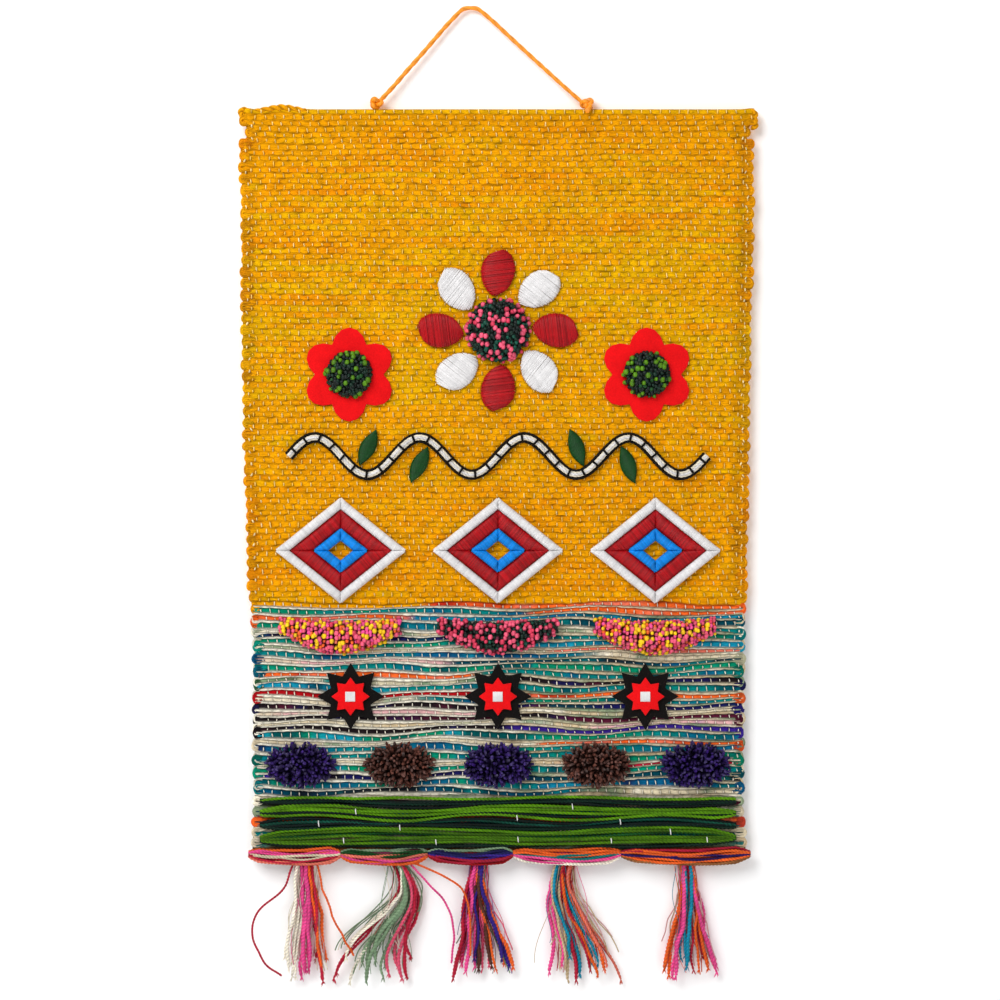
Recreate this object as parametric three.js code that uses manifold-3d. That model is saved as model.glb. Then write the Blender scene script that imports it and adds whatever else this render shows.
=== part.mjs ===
import * as THREE from 'three';
import { mergeVertices } from 'three/addons/utils/BufferGeometryUtils.js';
import Module from 'manifold-3d';

// A handwoven wall hanging on a cord, in millimetres. +Z is up and the front faces -Y.
// The wall is the plane y = 0. The origin lies on it, where the cord's top hangs on a nail.

const wasm = await Module();
wasm.setup();

// Driving dimensions
const CORD_THICKNESS = 3.1;
const CORD_TWIST_LENGTH = 14;
const CLOTH_TOP = -70;
const CLOTH_ASIDE = 19.6;
const CLOTH_LENGTH = 520.8;
const CLOTH_HALF_WIDTH = 181.3;
const SHEET_FRONT = -7.2;
const SHEET_BACK = -3.9;
const HEADING_FRONT = -7.9;
const HEADING_DEPTH = 17;
const LOBE_LENGTH = 8.7;
const LOBE_HEIGHT = 1.5;
const GAP = 0.3;
const FELT_THICKNESS = 2;
const SATIN_THICKNESS = 3.4;
const BAR_THICKNESS = 5;
const VINE_THICKNESS = 5.6;
const STRAND_RADIUS = 1.5;
const TASSEL_BOTTOM = -605;

// The face on which sewn-on pieces lie
const SEWN_ON = SHEET_FRONT - GAP;

// How far each selvedge lies from the middle, going down the cloth from its top edge
const SELVEDGES = [
  { down: 0, left: 181.0, right: 181.3 },
  { down: 7, left: 181.3, right: 182.0 },
  { down: 13, left: 178.0, right: 177.4 },
  { down: 19, left: 177.4, right: 175.4 },
  { down: 25, left: 182.0, right: 179.2 },
  { down: 64, left: 180.8, right: 179.6 },
  { down: 162, left: 180.3, right: 177.8 },
  { down: 218, left: 179.0, right: 176.4 },
  { down: 316, left: 176.4, right: 175.0 },
  { down: 379, left: 172.2, right: 172.9 },
  { down: 484, left: 172.0, right: 172.2 },
  { down: 521, left: 173.6, right: 175.0 },
];

const COLOURS = {
  golden: 0xe0a00a,
  cordOrange: 0xe09018,
  green: 0x4a7a12,
  darkGreen: 0x0b3a22,
  red: 0xb01f2a,
  feltRed: 0xd8141c,
  white: 0xeeebee,
  black: 0x17120f,
  blue: 0x0a78c4,
  cream: 0xdccfae,
  pinkGreen: 0x8a4a5c,
  greenLime: 0x2f5a22,
  pinkYellow: 0xdb7a66,
  purple: 0x35207a,
  brown: 0x5a3a2c,
  rose: 0xd05878,
  sage: 0x8fa88c,
  indigo: 0x402a86,
  orange: 0xe8743a,
};

// Materials, one for each finish and colour
function yarn(colour, roughness = 0.9) {
  return new THREE.MeshStandardMaterial({ color: colour, roughness, metalness: 0 });
}

function point(x, y, z) {
  return new THREE.Vector3(x, y, z);
}

function mix(a, b, t) {
  return a + (b - a) * t;
}

// An even but irregular number between -1 and 1, the same each time for the same two values
function uneven(a, b = 0) {
  return Math.sin(a * 12.7 + b * 5.3) * Math.cos(a * 4.1 - b * 9.7);
}

// Merges the points that meet, so that the triangles make one closed body
function closeUp(geometry) {
  geometry.deleteAttribute('normal');
  geometry.deleteAttribute('uv');
  return mergeVertices(geometry, 1e-4);
}

// Moves each point of a geometry by a function
function reshape(geometry, move) {
  const places = geometry.getAttribute('position');
  const place = new THREE.Vector3();
  for (let i = 0; i < places.count; i += 1) {
    place.fromBufferAttribute(places, i);
    move(place);
    places.setXYZ(i, place.x, place.y, place.z);
  }
  return geometry;
}

// A closed body through rings of as many points each, with a flat fan at both ends
function loft(rings) {
  const count = rings[0].length;
  const places = rings.flat().flatMap((p) => [p.x, p.y, p.z]);
  const faces = [];
  for (let r = 0; r + 1 < rings.length; r += 1) {
    for (let i = 0; i < count; i += 1) {
      const next = (i + 1) % count;
      const a = r * count + i;
      const b = r * count + next;
      faces.push(a, b, a + count, b, b + count, a + count);
    }
  }
  for (const [ring, turn] of [[0, -1], [rings.length - 1, 1]]) {
    const middle = places.length / 3;
    const centre = rings[ring].reduce((sum, p) => sum.add(p), point(0, 0, 0)).divideScalar(count);
    places.push(centre.x, centre.y, centre.z);
    for (let i = 0; i < count; i += 1) {
      const a = ring * count + i;
      const b = ring * count + ((i + 1) % count);
      faces.push(middle, turn > 0 ? a : b, turn > 0 ? b : a);
    }
  }
  const geometry = new THREE.BufferGeometry();
  geometry.setAttribute('position', new THREE.Float32BufferAttribute(places, 3));
  geometry.setIndex(faces);
  return geometry;
}

// A tube of some sides along a curve
function tube(curve, radius, sides, steps) {
  const corners = [];
  for (let i = 0; i < sides; i += 1) {
    const angle = (i / sides) * 2 * Math.PI;
    corners.push(new THREE.Vector2(radius * Math.cos(angle), radius * Math.sin(angle)));
  }
  const section = new THREE.Shape(corners);
  return closeUp(new THREE.ExtrudeGeometry(section, { steps, extrudePath: curve, bevelEnabled: false }));
}

// A flat piece cut to a shape drawn in X and Z, its back at y = 0 and its front at -thickness
function cutPiece(shape, thickness, rounding = 0, segments = 1) {
  const geometry = new THREE.ExtrudeGeometry(shape, {
    depth: thickness - 2 * rounding,
    steps: 1,
    curveSegments: 4,
    bevelEnabled: rounding > 0,
    bevelThickness: rounding,
    bevelSize: rounding,
    bevelOffset: -rounding,
    bevelSegments: segments,
  });
  geometry.translate(0, 0, rounding);
  geometry.rotateX(Math.PI / 2);
  return closeUp(geometry);
}

// A mound on a flat base: radiusAt gives its outline, and lumps its unevenness
function mound({ radiusAt, height, segments, levels, lumps = 0 }) {
  const profile = [new THREE.Vector2(0, 0)];
  for (let i = 0; i <= levels; i += 1) {
    const angle = (i / levels) * (Math.PI / 2);
    profile.push(new THREE.Vector2(i === levels ? 0 : Math.cos(angle), -Math.sin(angle)));
  }
  const geometry = facingOut(closeUp(new THREE.LatheGeometry(profile, segments)));
  return reshape(geometry, (p) => {
    const angle = Math.atan2(p.x, p.z);
    const share = Math.hypot(p.x, p.z);
    const lump = 1 + lumps * uneven(Math.round(angle * 7), Math.round(p.y * 9));
    const radius = share * radiusAt(angle) * lump;
    p.set(radius * Math.sin(angle), p.y * height * lump, radius * Math.cos(angle));
  });
}

// A row of yarns laid side by side, from one x to another between two curves, with a ridge for each yarn
function yarnBundle({ from, to, steps, upperAt, lowerAt, depth, ridges, roundEnds }) {
  const rings = [];
  const across = ridges * 2;
  for (let i = 0; i <= steps; i += 1) {
    const s = i / steps;
    const x = mix(from, to, s);
    const fullness = Math.min(1, 0.35 + Math.min(s, 1 - s) * roundEnds);
    const middle = (upperAt(x) + lowerAt(x)) / 2;
    const half = ((upperAt(x) - lowerAt(x)) / 2) * fullness;
    const ring = [];
    for (let j = 0; j <= across; j += 1) {
      const v = 1 - (2 * j) / across;
      const ridge = j % 2 === 0 ? 0.78 : 1;
      const y = -depth * fullness * ridge * Math.sqrt(Math.max(0.12, 1 - v * v * 0.9));
      ring.push(point(x, y, middle + half * v));
    }
    ring.push(point(x, 0, middle - half * 0.9));
    ring.push(point(x, 0, middle + half * 0.9));
    rings.push(ring);
  }
  return facingOut(loft(rings));
}

// Turns a body's faces outwards if its volume comes out below zero
function facingOut(geometry) {
  const places = geometry.getAttribute('position');
  const index = geometry.getIndex().array;
  const [a, b, c] = [point(0, 0, 0), point(0, 0, 0), point(0, 0, 0)];
  let volume = 0;
  for (let i = 0; i < index.length; i += 3) {
    a.fromBufferAttribute(places, index[i]);
    b.fromBufferAttribute(places, index[i + 1]);
    c.fromBufferAttribute(places, index[i + 2]);
    volume += a.dot(b.cross(c));
  }
  if (volume < 0) {
    geometry.setIndex(Array.from(index).reverse());
  }
  return geometry;
}

// Joins closed bodies that run into each other into one
function join(geometries) {
  const solids = geometries.map((geometry) => new wasm.Manifold(new wasm.Mesh({
    numProp: 3,
    vertProperties: new Float32Array(geometry.getAttribute('position').array),
    triVerts: new Uint32Array(geometry.getIndex().array),
  })));
  const whole = solids.reduce((sum, solid) => sum.add(solid));
  const { vertProperties, triVerts } = whole.getMesh();
  const geometry = new THREE.BufferGeometry();
  geometry.setAttribute('position', new THREE.Float32BufferAttribute(vertProperties, 3));
  geometry.setIndex(Array.from(triVerts));
  return geometry;
}

const wallHanging = new THREE.Group();
const cloth = new THREE.Group();
cloth.position.set(CLOTH_ASIDE, 0, CLOTH_TOP);
wallHanging.add(cloth);

function addPiece(group, name, geometry, material, x = 0, y = 0, z = 0) {
  const piece = new THREE.Mesh(geometry, material);
  piece.name = name;
  piece.position.set(x, y, z);
  group.add(piece);
  return piece;
}

// Ground cloth: a thick sheet with lobed selvedges, and a heading folded to the back

function selvedgeAt(down, side) {
  const row = SELVEDGES.findIndex((entry) => entry.down >= down);
  const below = SELVEDGES[Math.max(row, 1)];
  const above = SELVEDGES[Math.max(row, 1) - 1];
  const smooth = THREE.MathUtils.smoothstep(down, above.down, below.down);
  return mix(above[side], below[side], smooth);
}

function sheetBody() {
  const start = HEADING_DEPTH / 2;
  const rows = Math.round((CLOTH_LENGTH - start) / LOBE_LENGTH) * 2;
  const thick = SHEET_BACK - SHEET_FRONT;
  const rings = [];
  for (let i = 0; i <= rows; i += 1) {
    const down = mix(start, CLOTH_LENGTH, i / rows);
    const lobe = LOBE_HEIGHT * (i % 2 === 0 ? -0.6 : 0.6);
    const left = -selvedgeAt(down, 'left') - lobe - 0.5 * uneven(i, 1);
    const right = selvedgeAt(down, 'right') + lobe + 0.5 * uneven(i, 2);
    const inset = thick * 0.35;
    const middle = (SHEET_BACK + SHEET_FRONT) / 2;
    rings.push([
      point(left + inset, SHEET_FRONT, -down),
      point(right - inset, SHEET_FRONT, -down),
      point(right, middle, -down),
      point(right - inset, SHEET_BACK, -down),
      point(left + inset, SHEET_BACK, -down),
      point(left, middle, -down),
    ]);
  }
  return facingOut(loft(rings));
}

// How far the heading's top rises at an x, with the lumps of the turned corner near the left end
function headingRise(x) {
  const corner = 2.2 * Math.exp(-(((x + 151) / 11) ** 2));
  const end = 1.4 * Math.exp(-(((x + 178) / 4) ** 2)) + 0.8 * Math.exp(-(((x - 178) / 5) ** 2));
  return corner + end + 0.35 * uneven(x * 0.05);
}

function headingBody() {
  const columns = 30;
  const bottom = -HEADING_DEPTH;
  const rings = [];
  for (let i = 0; i <= columns; i += 1) {
    const t = i / columns;
    const x = mix(-CLOTH_HALF_WIDTH - 0.6, CLOTH_HALF_WIDTH + 0.8, t);
    const atEnd = i === 0 || i === columns;
    const top = headingRise(x) - (atEnd ? 1.5 : 0);
    const low = bottom + (atEnd ? 4 : 0) + 0.4 * uneven(i, 4);
    rings.push([
      point(x, HEADING_FRONT * 0.68, top),
      point(x, HEADING_FRONT * 0.92, top - 1.6),
      point(x, HEADING_FRONT, top - 4),
      point(x, HEADING_FRONT, low + 2),
      point(x, SHEET_FRONT * 0.8, low),
      point(x, -1.2, low),
      point(x, 0, -14 + (atEnd ? 2.5 : 0)),
      point(x, 0, -3.5),
      point(x, -0.7, top - 1.4),
      point(x, HEADING_FRONT * 0.3, top),
    ]);
  }
  return facingOut(loft(rings));
}

addPiece(cloth, 'ground_cloth', join([sheetBody(), headingBody()]), yarn(COLOURS.golden));

// Hanging cord: two plies twisted together, from one knot over the nail to the other

const CORD_ROUTE = [
  point(-61.1, -4.2, -61.9),
  point(-54.0, -3.9, -54.2),
  point(-46.6, -3.6, -46.1),
  point(-38.2, -3.3, -36.7),
  point(-30.0, -2.9, -27.9),
  point(-21.6, -2.5, -18.5),
  point(-13.4, -2.1, -9.5),
  point(-5.56, -1.8, -0.92),
  point(-3.97, -1.7, 0.41),
  point(-2.07, -1.7, 1.26),
  point(0, -1.7, 1.55),
  point(1.81, -1.7, 1.33),
  point(3.52, -1.7, 0.67),
  point(4.89, -1.8, -0.26),
  point(15.0, -2.2, -8.8),
  point(26.0, -2.6, -17.9),
  point(37.0, -3.0, -27.0),
  point(48.0, -3.4, -36.1),
  point(59.0, -3.8, -45.5),
  point(70.0, -4.1, -54.6),
  point(79.2, -4.2, -62.2),
];

function twistedCord() {
  const steps = 92;
  const curve = new THREE.CatmullRomCurve3(CORD_ROUTE);
  const stations = curve.getSpacedPoints(steps);
  const frames = curve.computeFrenetFrames(steps, false);
  const length = curve.getLength();
  const radius = CORD_THICKNESS / 2;
  return reshape(tube(curve, radius, 8, steps), (p) => {
    let nearest = 0;
    for (let i = 1; i <= steps; i += 1) {
      if (stations[i].distanceTo(p) < stations[nearest].distanceTo(p)) {
        nearest = i;
      }
    }
    const offset = p.clone().sub(stations[nearest]);
    const angle = Math.atan2(offset.dot(frames.binormals[nearest]), offset.dot(frames.normals[nearest]));
    const turn = ((nearest / steps) * length * 2 * Math.PI) / CORD_TWIST_LENGTH;
    const ply = 0.88 + 0.12 * Math.cos(2 * (angle - turn));
    p.copy(stations[nearest]).addScaledVector(offset, ply);
  });
}

addPiece(wallHanging, 'hanging_cord', twistedCord(), yarn(COLOURS.cordOrange, 0.75));

// A knot: a ball with the furrows of its wrapped turns
function knotBody(width, height, lean) {
  const ball = closeUp(new THREE.SphereGeometry(0.5, 10, 8));
  return reshape(ball, (p) => {
    const furrow = 1 + 0.1 * Math.cos(6 * (p.z * 2 + p.x * lean));
    p.set(p.x * width * furrow, p.y * height * furrow, p.z * height * furrow);
  });
}

const KNOTS = [
  { name: 'knot_left', x: -64.2, z: -65.4, width: 9.2, height: 7.0, lean: 1.6, tail: 0 },
  { name: 'knot_right', x: 82.9, z: -65.3, width: 8.6, height: 7.4, lean: -1.6, tail: 9 },
];

function knotTail(length) {
  const route = new THREE.CatmullRomCurve3([
    point(1.2, -1.5, -0.6),
    point(2.6, -4.6, -1.2),
    point(3.0, -6.1, -length * 0.5),
    point(2.4, -6.3, -length),
  ]);
  return tube(route, CORD_THICKNESS * 0.42, 6, 7);
}

for (const knot of KNOTS) {
  const ball = knotBody(knot.width, knot.height, knot.lean);
  const body = knot.tail > 0 ? join([ball, knotTail(knot.tail)]) : ball;
  addPiece(wallHanging, knot.name, body, yarn(COLOURS.cordOrange, 0.75), knot.x, -4.0, knot.z);
}

// Green border: four bundles of couched cords between five wavy seams

const BORDER_SEAMS = [
  { down: 481.0, wave: 0.6, length: 150, shift: 0.0 },
  { down: 488.0, wave: 1.8, length: 168, shift: 0.6 },
  { down: 496.6, wave: 2.0, length: 124, shift: 2.1 },
  { down: 503.6, wave: 1.8, length: 186, shift: 3.9 },
  { down: 515.8, wave: 0.4, length: 140, shift: 1.0 },
];
const BORDER_BUNDLES = [
  { cords: 2, colour: COLOURS.darkGreen },
  { cords: 3, colour: COLOURS.green },
  { cords: 2, colour: COLOURS.darkGreen },
  { cords: 4, colour: COLOURS.green },
];
const BORDER_HALF_WIDTH = 166;

function seamAt(seam, x) {
  return -seam.down + seam.wave * Math.sin((2 * Math.PI * x) / seam.length + seam.shift);
}

BORDER_BUNDLES.forEach(({ cords, colour }, i) => {
  const bundle = yarnBundle({
    from: -BORDER_HALF_WIDTH + 1.5 * uneven(i, 1),
    to: BORDER_HALF_WIDTH + 1.5 * uneven(i, 2),
    steps: 24,
    upperAt: (x) => seamAt(BORDER_SEAMS[i], x) - GAP / 2,
    lowerAt: (x) => seamAt(BORDER_SEAMS[i + 1], x) + GAP / 2,
    depth: 4.2,
    ridges: cords,
    roundEnds: 12,
  });
  addPiece(cloth, `border_bundle_${i + 1}`, bundle, yarn(colour), 0, SEWN_ON, 0);
});

// Edging: a swag of yarns between each two joins, over the cloth's bottom edge

const EDGING_JOINS = [-174.5, -110.0, -49.0, 10.5, 86.0, 176.5];
const EDGING_COLOURS = [COLOURS.orange, COLOURS.sage, COLOURS.indigo, COLOURS.orange, COLOURS.rose];

EDGING_COLOURS.forEach((colour, i) => {
  const from = EDGING_JOINS[i] + GAP;
  const to = EDGING_JOINS[i + 1] - GAP;
  const swell = (x) => Math.sin(Math.PI * THREE.MathUtils.clamp((x - from) / (to - from), 0, 1));
  const swag = yarnBundle({
    from,
    to,
    steps: 12,
    upperAt: (x) => -517.0 - 1.0 * swell(x),
    lowerAt: (x) => -526.5 - 4.0 * swell(x),
    depth: 5.4,
    ridges: 3,
    roundEnds: 8,
  });
  addPiece(cloth, `edging_${i + 1}`, swag, yarn(colour), 0, SEWN_ON, 0);
});

// Tassels: strands that stand apart below a narrow root tied under the cloth's bottom edge

const ROOT_TOP = -CLOTH_LENGTH - GAP;
const ROOT_BOTTOM = -532;
const ROOT_FRONT = -7.0;
const ROOT_BACK = -2.8;

const TASSELS = [
  { at: -134.8, root: 21.0, left: -149, right: -115, perLayer: 5, sway: 1.5, colour: COLOURS.rose },
  { at: -70.0, root: 15.0, left: -106, right: -48, perLayer: 5, sway: 5.0, colour: COLOURS.sage },
  { at: -13.0, root: 15.0, left: -33, right: 12, perLayer: 5, sway: -2.0, colour: COLOURS.indigo },
  { at: 47.3, root: 18.0, left: 33, right: 84, perLayer: 5, sway: -4.0, colour: COLOURS.orange },
  { at: 130.9, root: 18.0, left: 115, right: 158, perLayer: 5, sway: 2.0, colour: COLOURS.rose },
];

// Single strands that stray from their tassel, in front of the others
const STRAYS = {
  0: [
    [point(-143, -6.0, -529), point(-151, -10.8, -546), point(-168, -10.8, -562),
      point(-171, -10.8, -580), point(-162, -10.8, -598), point(-151, -10.8, -606)],
    [point(-127, -6.0, -529), point(-122, -10.8, -546), point(-113, -10.8, -570),
      point(-101, -10.8, -592)],
  ],
  1: [
    [point(-65, -6.0, -529), point(-58, -10.8, -548), point(-62, -10.8, -570),
      point(-92, -10.8, -594), point(-108, -10.8, -604)],
  ],
};

function strandRoute(tassel, layer, share) {
  const start = tassel.at + tassel.root * (share - 0.5) * 0.82;
  const end = mix(tassel.left, tassel.right, share);
  const bottom = TASSEL_BOTTOM + 8 * uneven(tassel.at + share * 9, layer);
  const drift = 2.4 * uneven(share * 7 + tassel.at, layer * 3);
  const depth = layer === 0 ? -7.6 : -2.7;
  const rootDepth = layer === 0 ? -5.9 : -3.9;
  const levels = [0, 0.14, 0.4, 0.7, 1];
  return new THREE.CatmullRomCurve3(levels.map((t) => {
    const spread = t < 0.14 ? 0 : ((t - 0.14) / 0.86) ** 1.15;
    const sway = tassel.sway * Math.sin(Math.PI * 1.6 * t);
    const x = mix(start, end, spread) + sway + drift * t;
    return point(x, t < 0.1 ? rootDepth : depth, mix(ROOT_BOTTOM + 3, bottom, t));
  }));
}

TASSELS.forEach((tassel, i) => {
  const root = new THREE.BoxGeometry(tassel.root, ROOT_BACK - ROOT_FRONT, ROOT_TOP - ROOT_BOTTOM);
  root.translate(tassel.at, (ROOT_BACK + ROOT_FRONT) / 2, (ROOT_TOP + ROOT_BOTTOM) / 2);
  const pieces = [closeUp(root)];
  for (let layer = 0; layer < 2; layer += 1) {
    for (let s = 0; s < tassel.perLayer; s += 1) {
      const share = s / (tassel.perLayer - 1);
      pieces.push(tube(strandRoute(tassel, layer, share), STRAND_RADIUS, 3, 8));
    }
  }
  for (const stray of STRAYS[i] ?? []) {
    pieces.push(tube(new THREE.CatmullRomCurve3(stray), STRAND_RADIUS * 0.75, 3, 11));
  }
  addPiece(cloth, `tassel_${i + 1}`, join(pieces), yarn(tassel.colour));
});

// Sewn-on design. Each place is given across from the cloth's middle and down from its top.

function sewOn(name, geometry, material, across, down, proud = 0) {
  return addPiece(cloth, name, geometry, material, across, SEWN_ON - proud, -down);
}

// An oval outline as a radius by angle, where angle 0 is straight up
function oval(halfWidth, halfHeight) {
  return (angle) => 1 / Math.hypot(Math.sin(angle) / halfWidth, Math.cos(angle) / halfHeight);
}

// Large rosette: padded satin-stitch petals round a looped-pile centre

const ROSETTE = { down: 155, petals: 8, inner: 24.8, petalLength: 31, petalWidth: 25, pileRadius: 23 };

for (let i = 0; i < ROSETTE.petals; i += 1) {
  const outline = oval(ROSETTE.petalWidth / 2, ROSETTE.petalLength / 2);
  const petal = mound({
    radiusAt: (angle) => outline(angle) * (1 + 0.1 * Math.cos(angle)),
    height: SATIN_THICKNESS,
    segments: 14,
    levels: 2,
  });
  const turn = (i / ROSETTE.petals) * 2 * Math.PI;
  const reach = ROSETTE.inner + ROSETTE.petalLength / 2;
  const colour = i % 2 === 0 ? COLOURS.red : COLOURS.white;
  const down = ROSETTE.down - reach * Math.cos(turn);
  const piece = sewOn(`rosette_petal_${i + 1}`, petal, yarn(colour, 0.6), reach * Math.sin(turn), down);
  piece.rotation.y = turn;
}

const rosettePile = mound({
  radiusAt: () => ROSETTE.pileRadius,
  height: 12,
  segments: 22,
  levels: 4,
  lumps: 0.06,
});
sewOn('rosette_pile', rosettePile, yarn(COLOURS.pinkGreen), 0, ROSETTE.down);

// Small rosettes: a felt flower and a looped-pile centre each

const SMALL_ROSETTES = [
  { side: 'left', across: -104, down: 186 },
  { side: 'right', across: 104, down: 186 },
];
const FLOWER = { petals: 6, reach: 33, notch: 9, pileRadius: 17 };

function flowerShape() {
  const corners = [];
  const count = FLOWER.petals * 6;
  for (let i = 0; i < count; i += 1) {
    const angle = (i / count) * 2 * Math.PI;
    const radius = FLOWER.reach - FLOWER.notch * (1 - Math.abs(Math.cos((angle * FLOWER.petals) / 2)));
    corners.push(new THREE.Vector2(radius * Math.sin(angle), radius * Math.cos(angle)));
  }
  return new THREE.Shape(corners);
}

for (const { side, across, down } of SMALL_ROSETTES) {
  const felt = cutPiece(flowerShape(), FELT_THICKNESS);
  sewOn(`felt_flower_${side}`, felt, yarn(COLOURS.feltRed), across, down);
  const pile = mound({
    radiusAt: () => FLOWER.pileRadius,
    height: 9,
    segments: 18,
    levels: 3,
    lumps: 0.07,
  });
  sewOn(`flower_pile_${side}`, pile, yarn(COLOURS.greenLime), across, down, FELT_THICKNESS + GAP);
}

// Vine: one couched cord in even waves, with a leaf in every other wave

const VINE = { down: 243, wave: 13, waves: 4, halfLength: 146 };

function vineAt(x) {
  return -VINE.down + VINE.wave * Math.sin((Math.PI * VINE.waves * x) / VINE.halfLength);
}

function vineCord() {
  const stops = [];
  const count = VINE.waves * 8;
  for (let i = 0; i <= count; i += 1) {
    const x = mix(-VINE.halfLength, VINE.halfLength, i / count);
    stops.push(point(x, -VINE_THICKNESS / 2, vineAt(x)));
  }
  return tube(new THREE.CatmullRomCurve3(stops), VINE_THICKNESS / 2, 6, VINE.waves * 12);
}

addPiece(cloth, 'vine_cord', vineCord(), yarn(COLOURS.cream), 0, SEWN_ON, 0);

const LEAVES = [
  { across: -91, above: 6, turn: 0.4 },
  { across: -55, above: -6, turn: 0.4 },
  { across: 55, above: 6, turn: -0.4 },
  { across: 91, above: -6, turn: -0.4 },
];
const LEAF = { halfLength: 13, halfWidth: 5.5 };

function leafShape() {
  const shape = new THREE.Shape();
  shape.moveTo(0, -LEAF.halfLength);
  shape.quadraticCurveTo(LEAF.halfWidth * 2, 0, 0, LEAF.halfLength);
  shape.quadraticCurveTo(-LEAF.halfWidth * 2, 0, 0, -LEAF.halfLength);
  return shape;
}

LEAVES.forEach(({ across, above, turn }, i) => {
  const leaf = cutPiece(leafShape(), SATIN_THICKNESS, 1.2);
  const piece = sewOn(`vine_leaf_${i + 1}`, leaf, yarn(COLOURS.darkGreen, 0.6), across, VINE.down - above);
  piece.rotation.y = turn;
});

// Lozenges: a white wrapped frame round a satin-stitch field, with a blue wrapped frame inside it

const LOZENGES = { across: [-110, 0, 110], down: 309, halfWidth: 46, halfHeight: 37 };
const WHITE_BAR = 6.2;
const BLUE_BAR = 6.6;
const FIELD_WIDTH = 10;

// A diamond ring, from one distance inside the lozenge's edge to another
function diamondRing(outerInset, innerInset) {
  const { halfWidth, halfHeight } = LOZENGES;
  const apothem = (halfWidth * halfHeight) / Math.hypot(halfWidth, halfHeight);
  const corners = (inset) => {
    const size = 1 - inset / apothem;
    return [
      new THREE.Vector2(halfWidth * size, 0),
      new THREE.Vector2(0, halfHeight * size),
      new THREE.Vector2(-halfWidth * size, 0),
      new THREE.Vector2(0, -halfHeight * size),
    ];
  };
  const shape = new THREE.Shape(corners(outerInset));
  shape.holes.push(new THREE.Path(corners(innerInset).reverse()));
  return shape;
}

LOZENGES.across.forEach((across, i) => {
  const fieldInset = WHITE_BAR + GAP;
  const blueInset = fieldInset + FIELD_WIDTH + GAP;
  const frame = cutPiece(diamondRing(0, WHITE_BAR), BAR_THICKNESS, 1.7);
  const field = cutPiece(diamondRing(fieldInset, fieldInset + FIELD_WIDTH), SATIN_THICKNESS, 0.9);
  const inner = cutPiece(diamondRing(blueInset, blueInset + BLUE_BAR), BAR_THICKNESS, 1.7);
  sewOn(`lozenge_frame_${i + 1}`, frame, yarn(COLOURS.white, 0.7), across, LOZENGES.down);
  sewOn(`lozenge_field_${i + 1}`, field, yarn(COLOURS.red, 0.6), across, LOZENGES.down);
  sewOn(`lozenge_inner_${i + 1}`, inner, yarn(COLOURS.blue, 0.7), across, LOZENGES.down);
});

// Pile swags: crescents of looped pile

const SWAGS = { across: [-110, 0, 110], down: 361, halfLength: 43, sag: 9, height: 23, depth: 10 };
const SWAG_COLOURS = [COLOURS.pinkYellow, COLOURS.pinkGreen, COLOURS.pinkYellow];

SWAGS.across.forEach((across, i) => {
  const { halfLength, sag, height, depth } = SWAGS;
  const dip = (x) => sag * Math.cos((Math.PI * x) / (2 * halfLength));
  const swell = (x) => height * (0.45 + 0.55 * Math.cos((Math.PI * x) / (2 * halfLength)));
  const swag = yarnBundle({
    from: -halfLength,
    to: halfLength,
    steps: 14,
    upperAt: (x) => -dip(x) + swell(x) / 2 + 0.8 * uneven(x, 1),
    lowerAt: (x) => -dip(x) - swell(x) / 2 - 0.8 * uneven(x, 2),
    depth,
    ridges: 3,
    roundEnds: 5,
  });
  sewOn(`pile_swag_${i + 1}`, swag, yarn(SWAG_COLOURS[i]), across, SWAGS.down);
});

// Felt stars: a black one and a smaller red one on top

const STARS = { across: [-103, 0, 103], down: 411, points: 8, reach: 23.5, notch: 8.5, topReach: 13.5 };

function starShape(reach, notch) {
  const corners = [];
  for (let i = 0; i < STARS.points * 2; i += 1) {
    const angle = (i / (STARS.points * 2)) * 2 * Math.PI;
    const radius = i % 2 === 0 ? reach : reach - notch;
    corners.push(new THREE.Vector2(radius * Math.sin(angle), radius * Math.cos(angle)));
  }
  return new THREE.Shape(corners);
}

STARS.across.forEach((across, i) => {
  const black = cutPiece(starShape(STARS.reach, STARS.notch), FELT_THICKNESS);
  const red = cutPiece(starShape(STARS.topReach, STARS.notch * 0.5), FELT_THICKNESS);
  sewOn(`star_black_${i + 1}`, black, yarn(COLOURS.black), across, STARS.down);
  sewOn(`star_red_${i + 1}`, red, yarn(COLOURS.feltRed), across, STARS.down, FELT_THICKNESS + GAP);
});

// Shaggy tufts: a lumpy slab with locks at its rim

const TUFTS = { across: [-138, -69, 0, 69, 138], down: 459, halfWidth: 23, halfHeight: 13.5, height: 10 };
const LOCK = { count: 12, radius: 3.3, length: 11, out: 5.6 };

function tuftBody(seed) {
  const outline = oval(TUFTS.halfWidth, TUFTS.halfHeight);
  const bodies = [mound({
    radiusAt: outline,
    height: TUFTS.height,
    segments: 16,
    levels: 3,
    lumps: 0.08,
  })];
  for (let i = 0; i < LOCK.count; i += 1) {
    const angle = ((i + 0.3 * uneven(i, seed)) / LOCK.count) * 2 * Math.PI;
    const lock = new THREE.ConeGeometry(LOCK.radius, LOCK.length, 3);
    lock.rotateX(Math.PI / 2);
    lock.rotateX(-0.2 - 0.15 * Math.abs(uneven(i, seed + 3)));
    lock.rotateY(angle);
    const reach = outline(angle) - LOCK.length / 2 + LOCK.out + 0.8 * uneven(i, seed + 1);
    lock.translate(reach * Math.sin(angle), -4.4 - 0.6 * Math.abs(uneven(i, seed)), reach * Math.cos(angle));
    bodies.push(closeUp(lock));
  }
  return join(bodies);
}

TUFTS.across.forEach((across, i) => {
  const colour = i % 2 === 0 ? COLOURS.purple : COLOURS.brown;
  sewOn(`shag_tuft_${i + 1}`, tuftBody(i), yarn(colour), across, TUFTS.down);
});

export default wallHanging;
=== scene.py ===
import math

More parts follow.
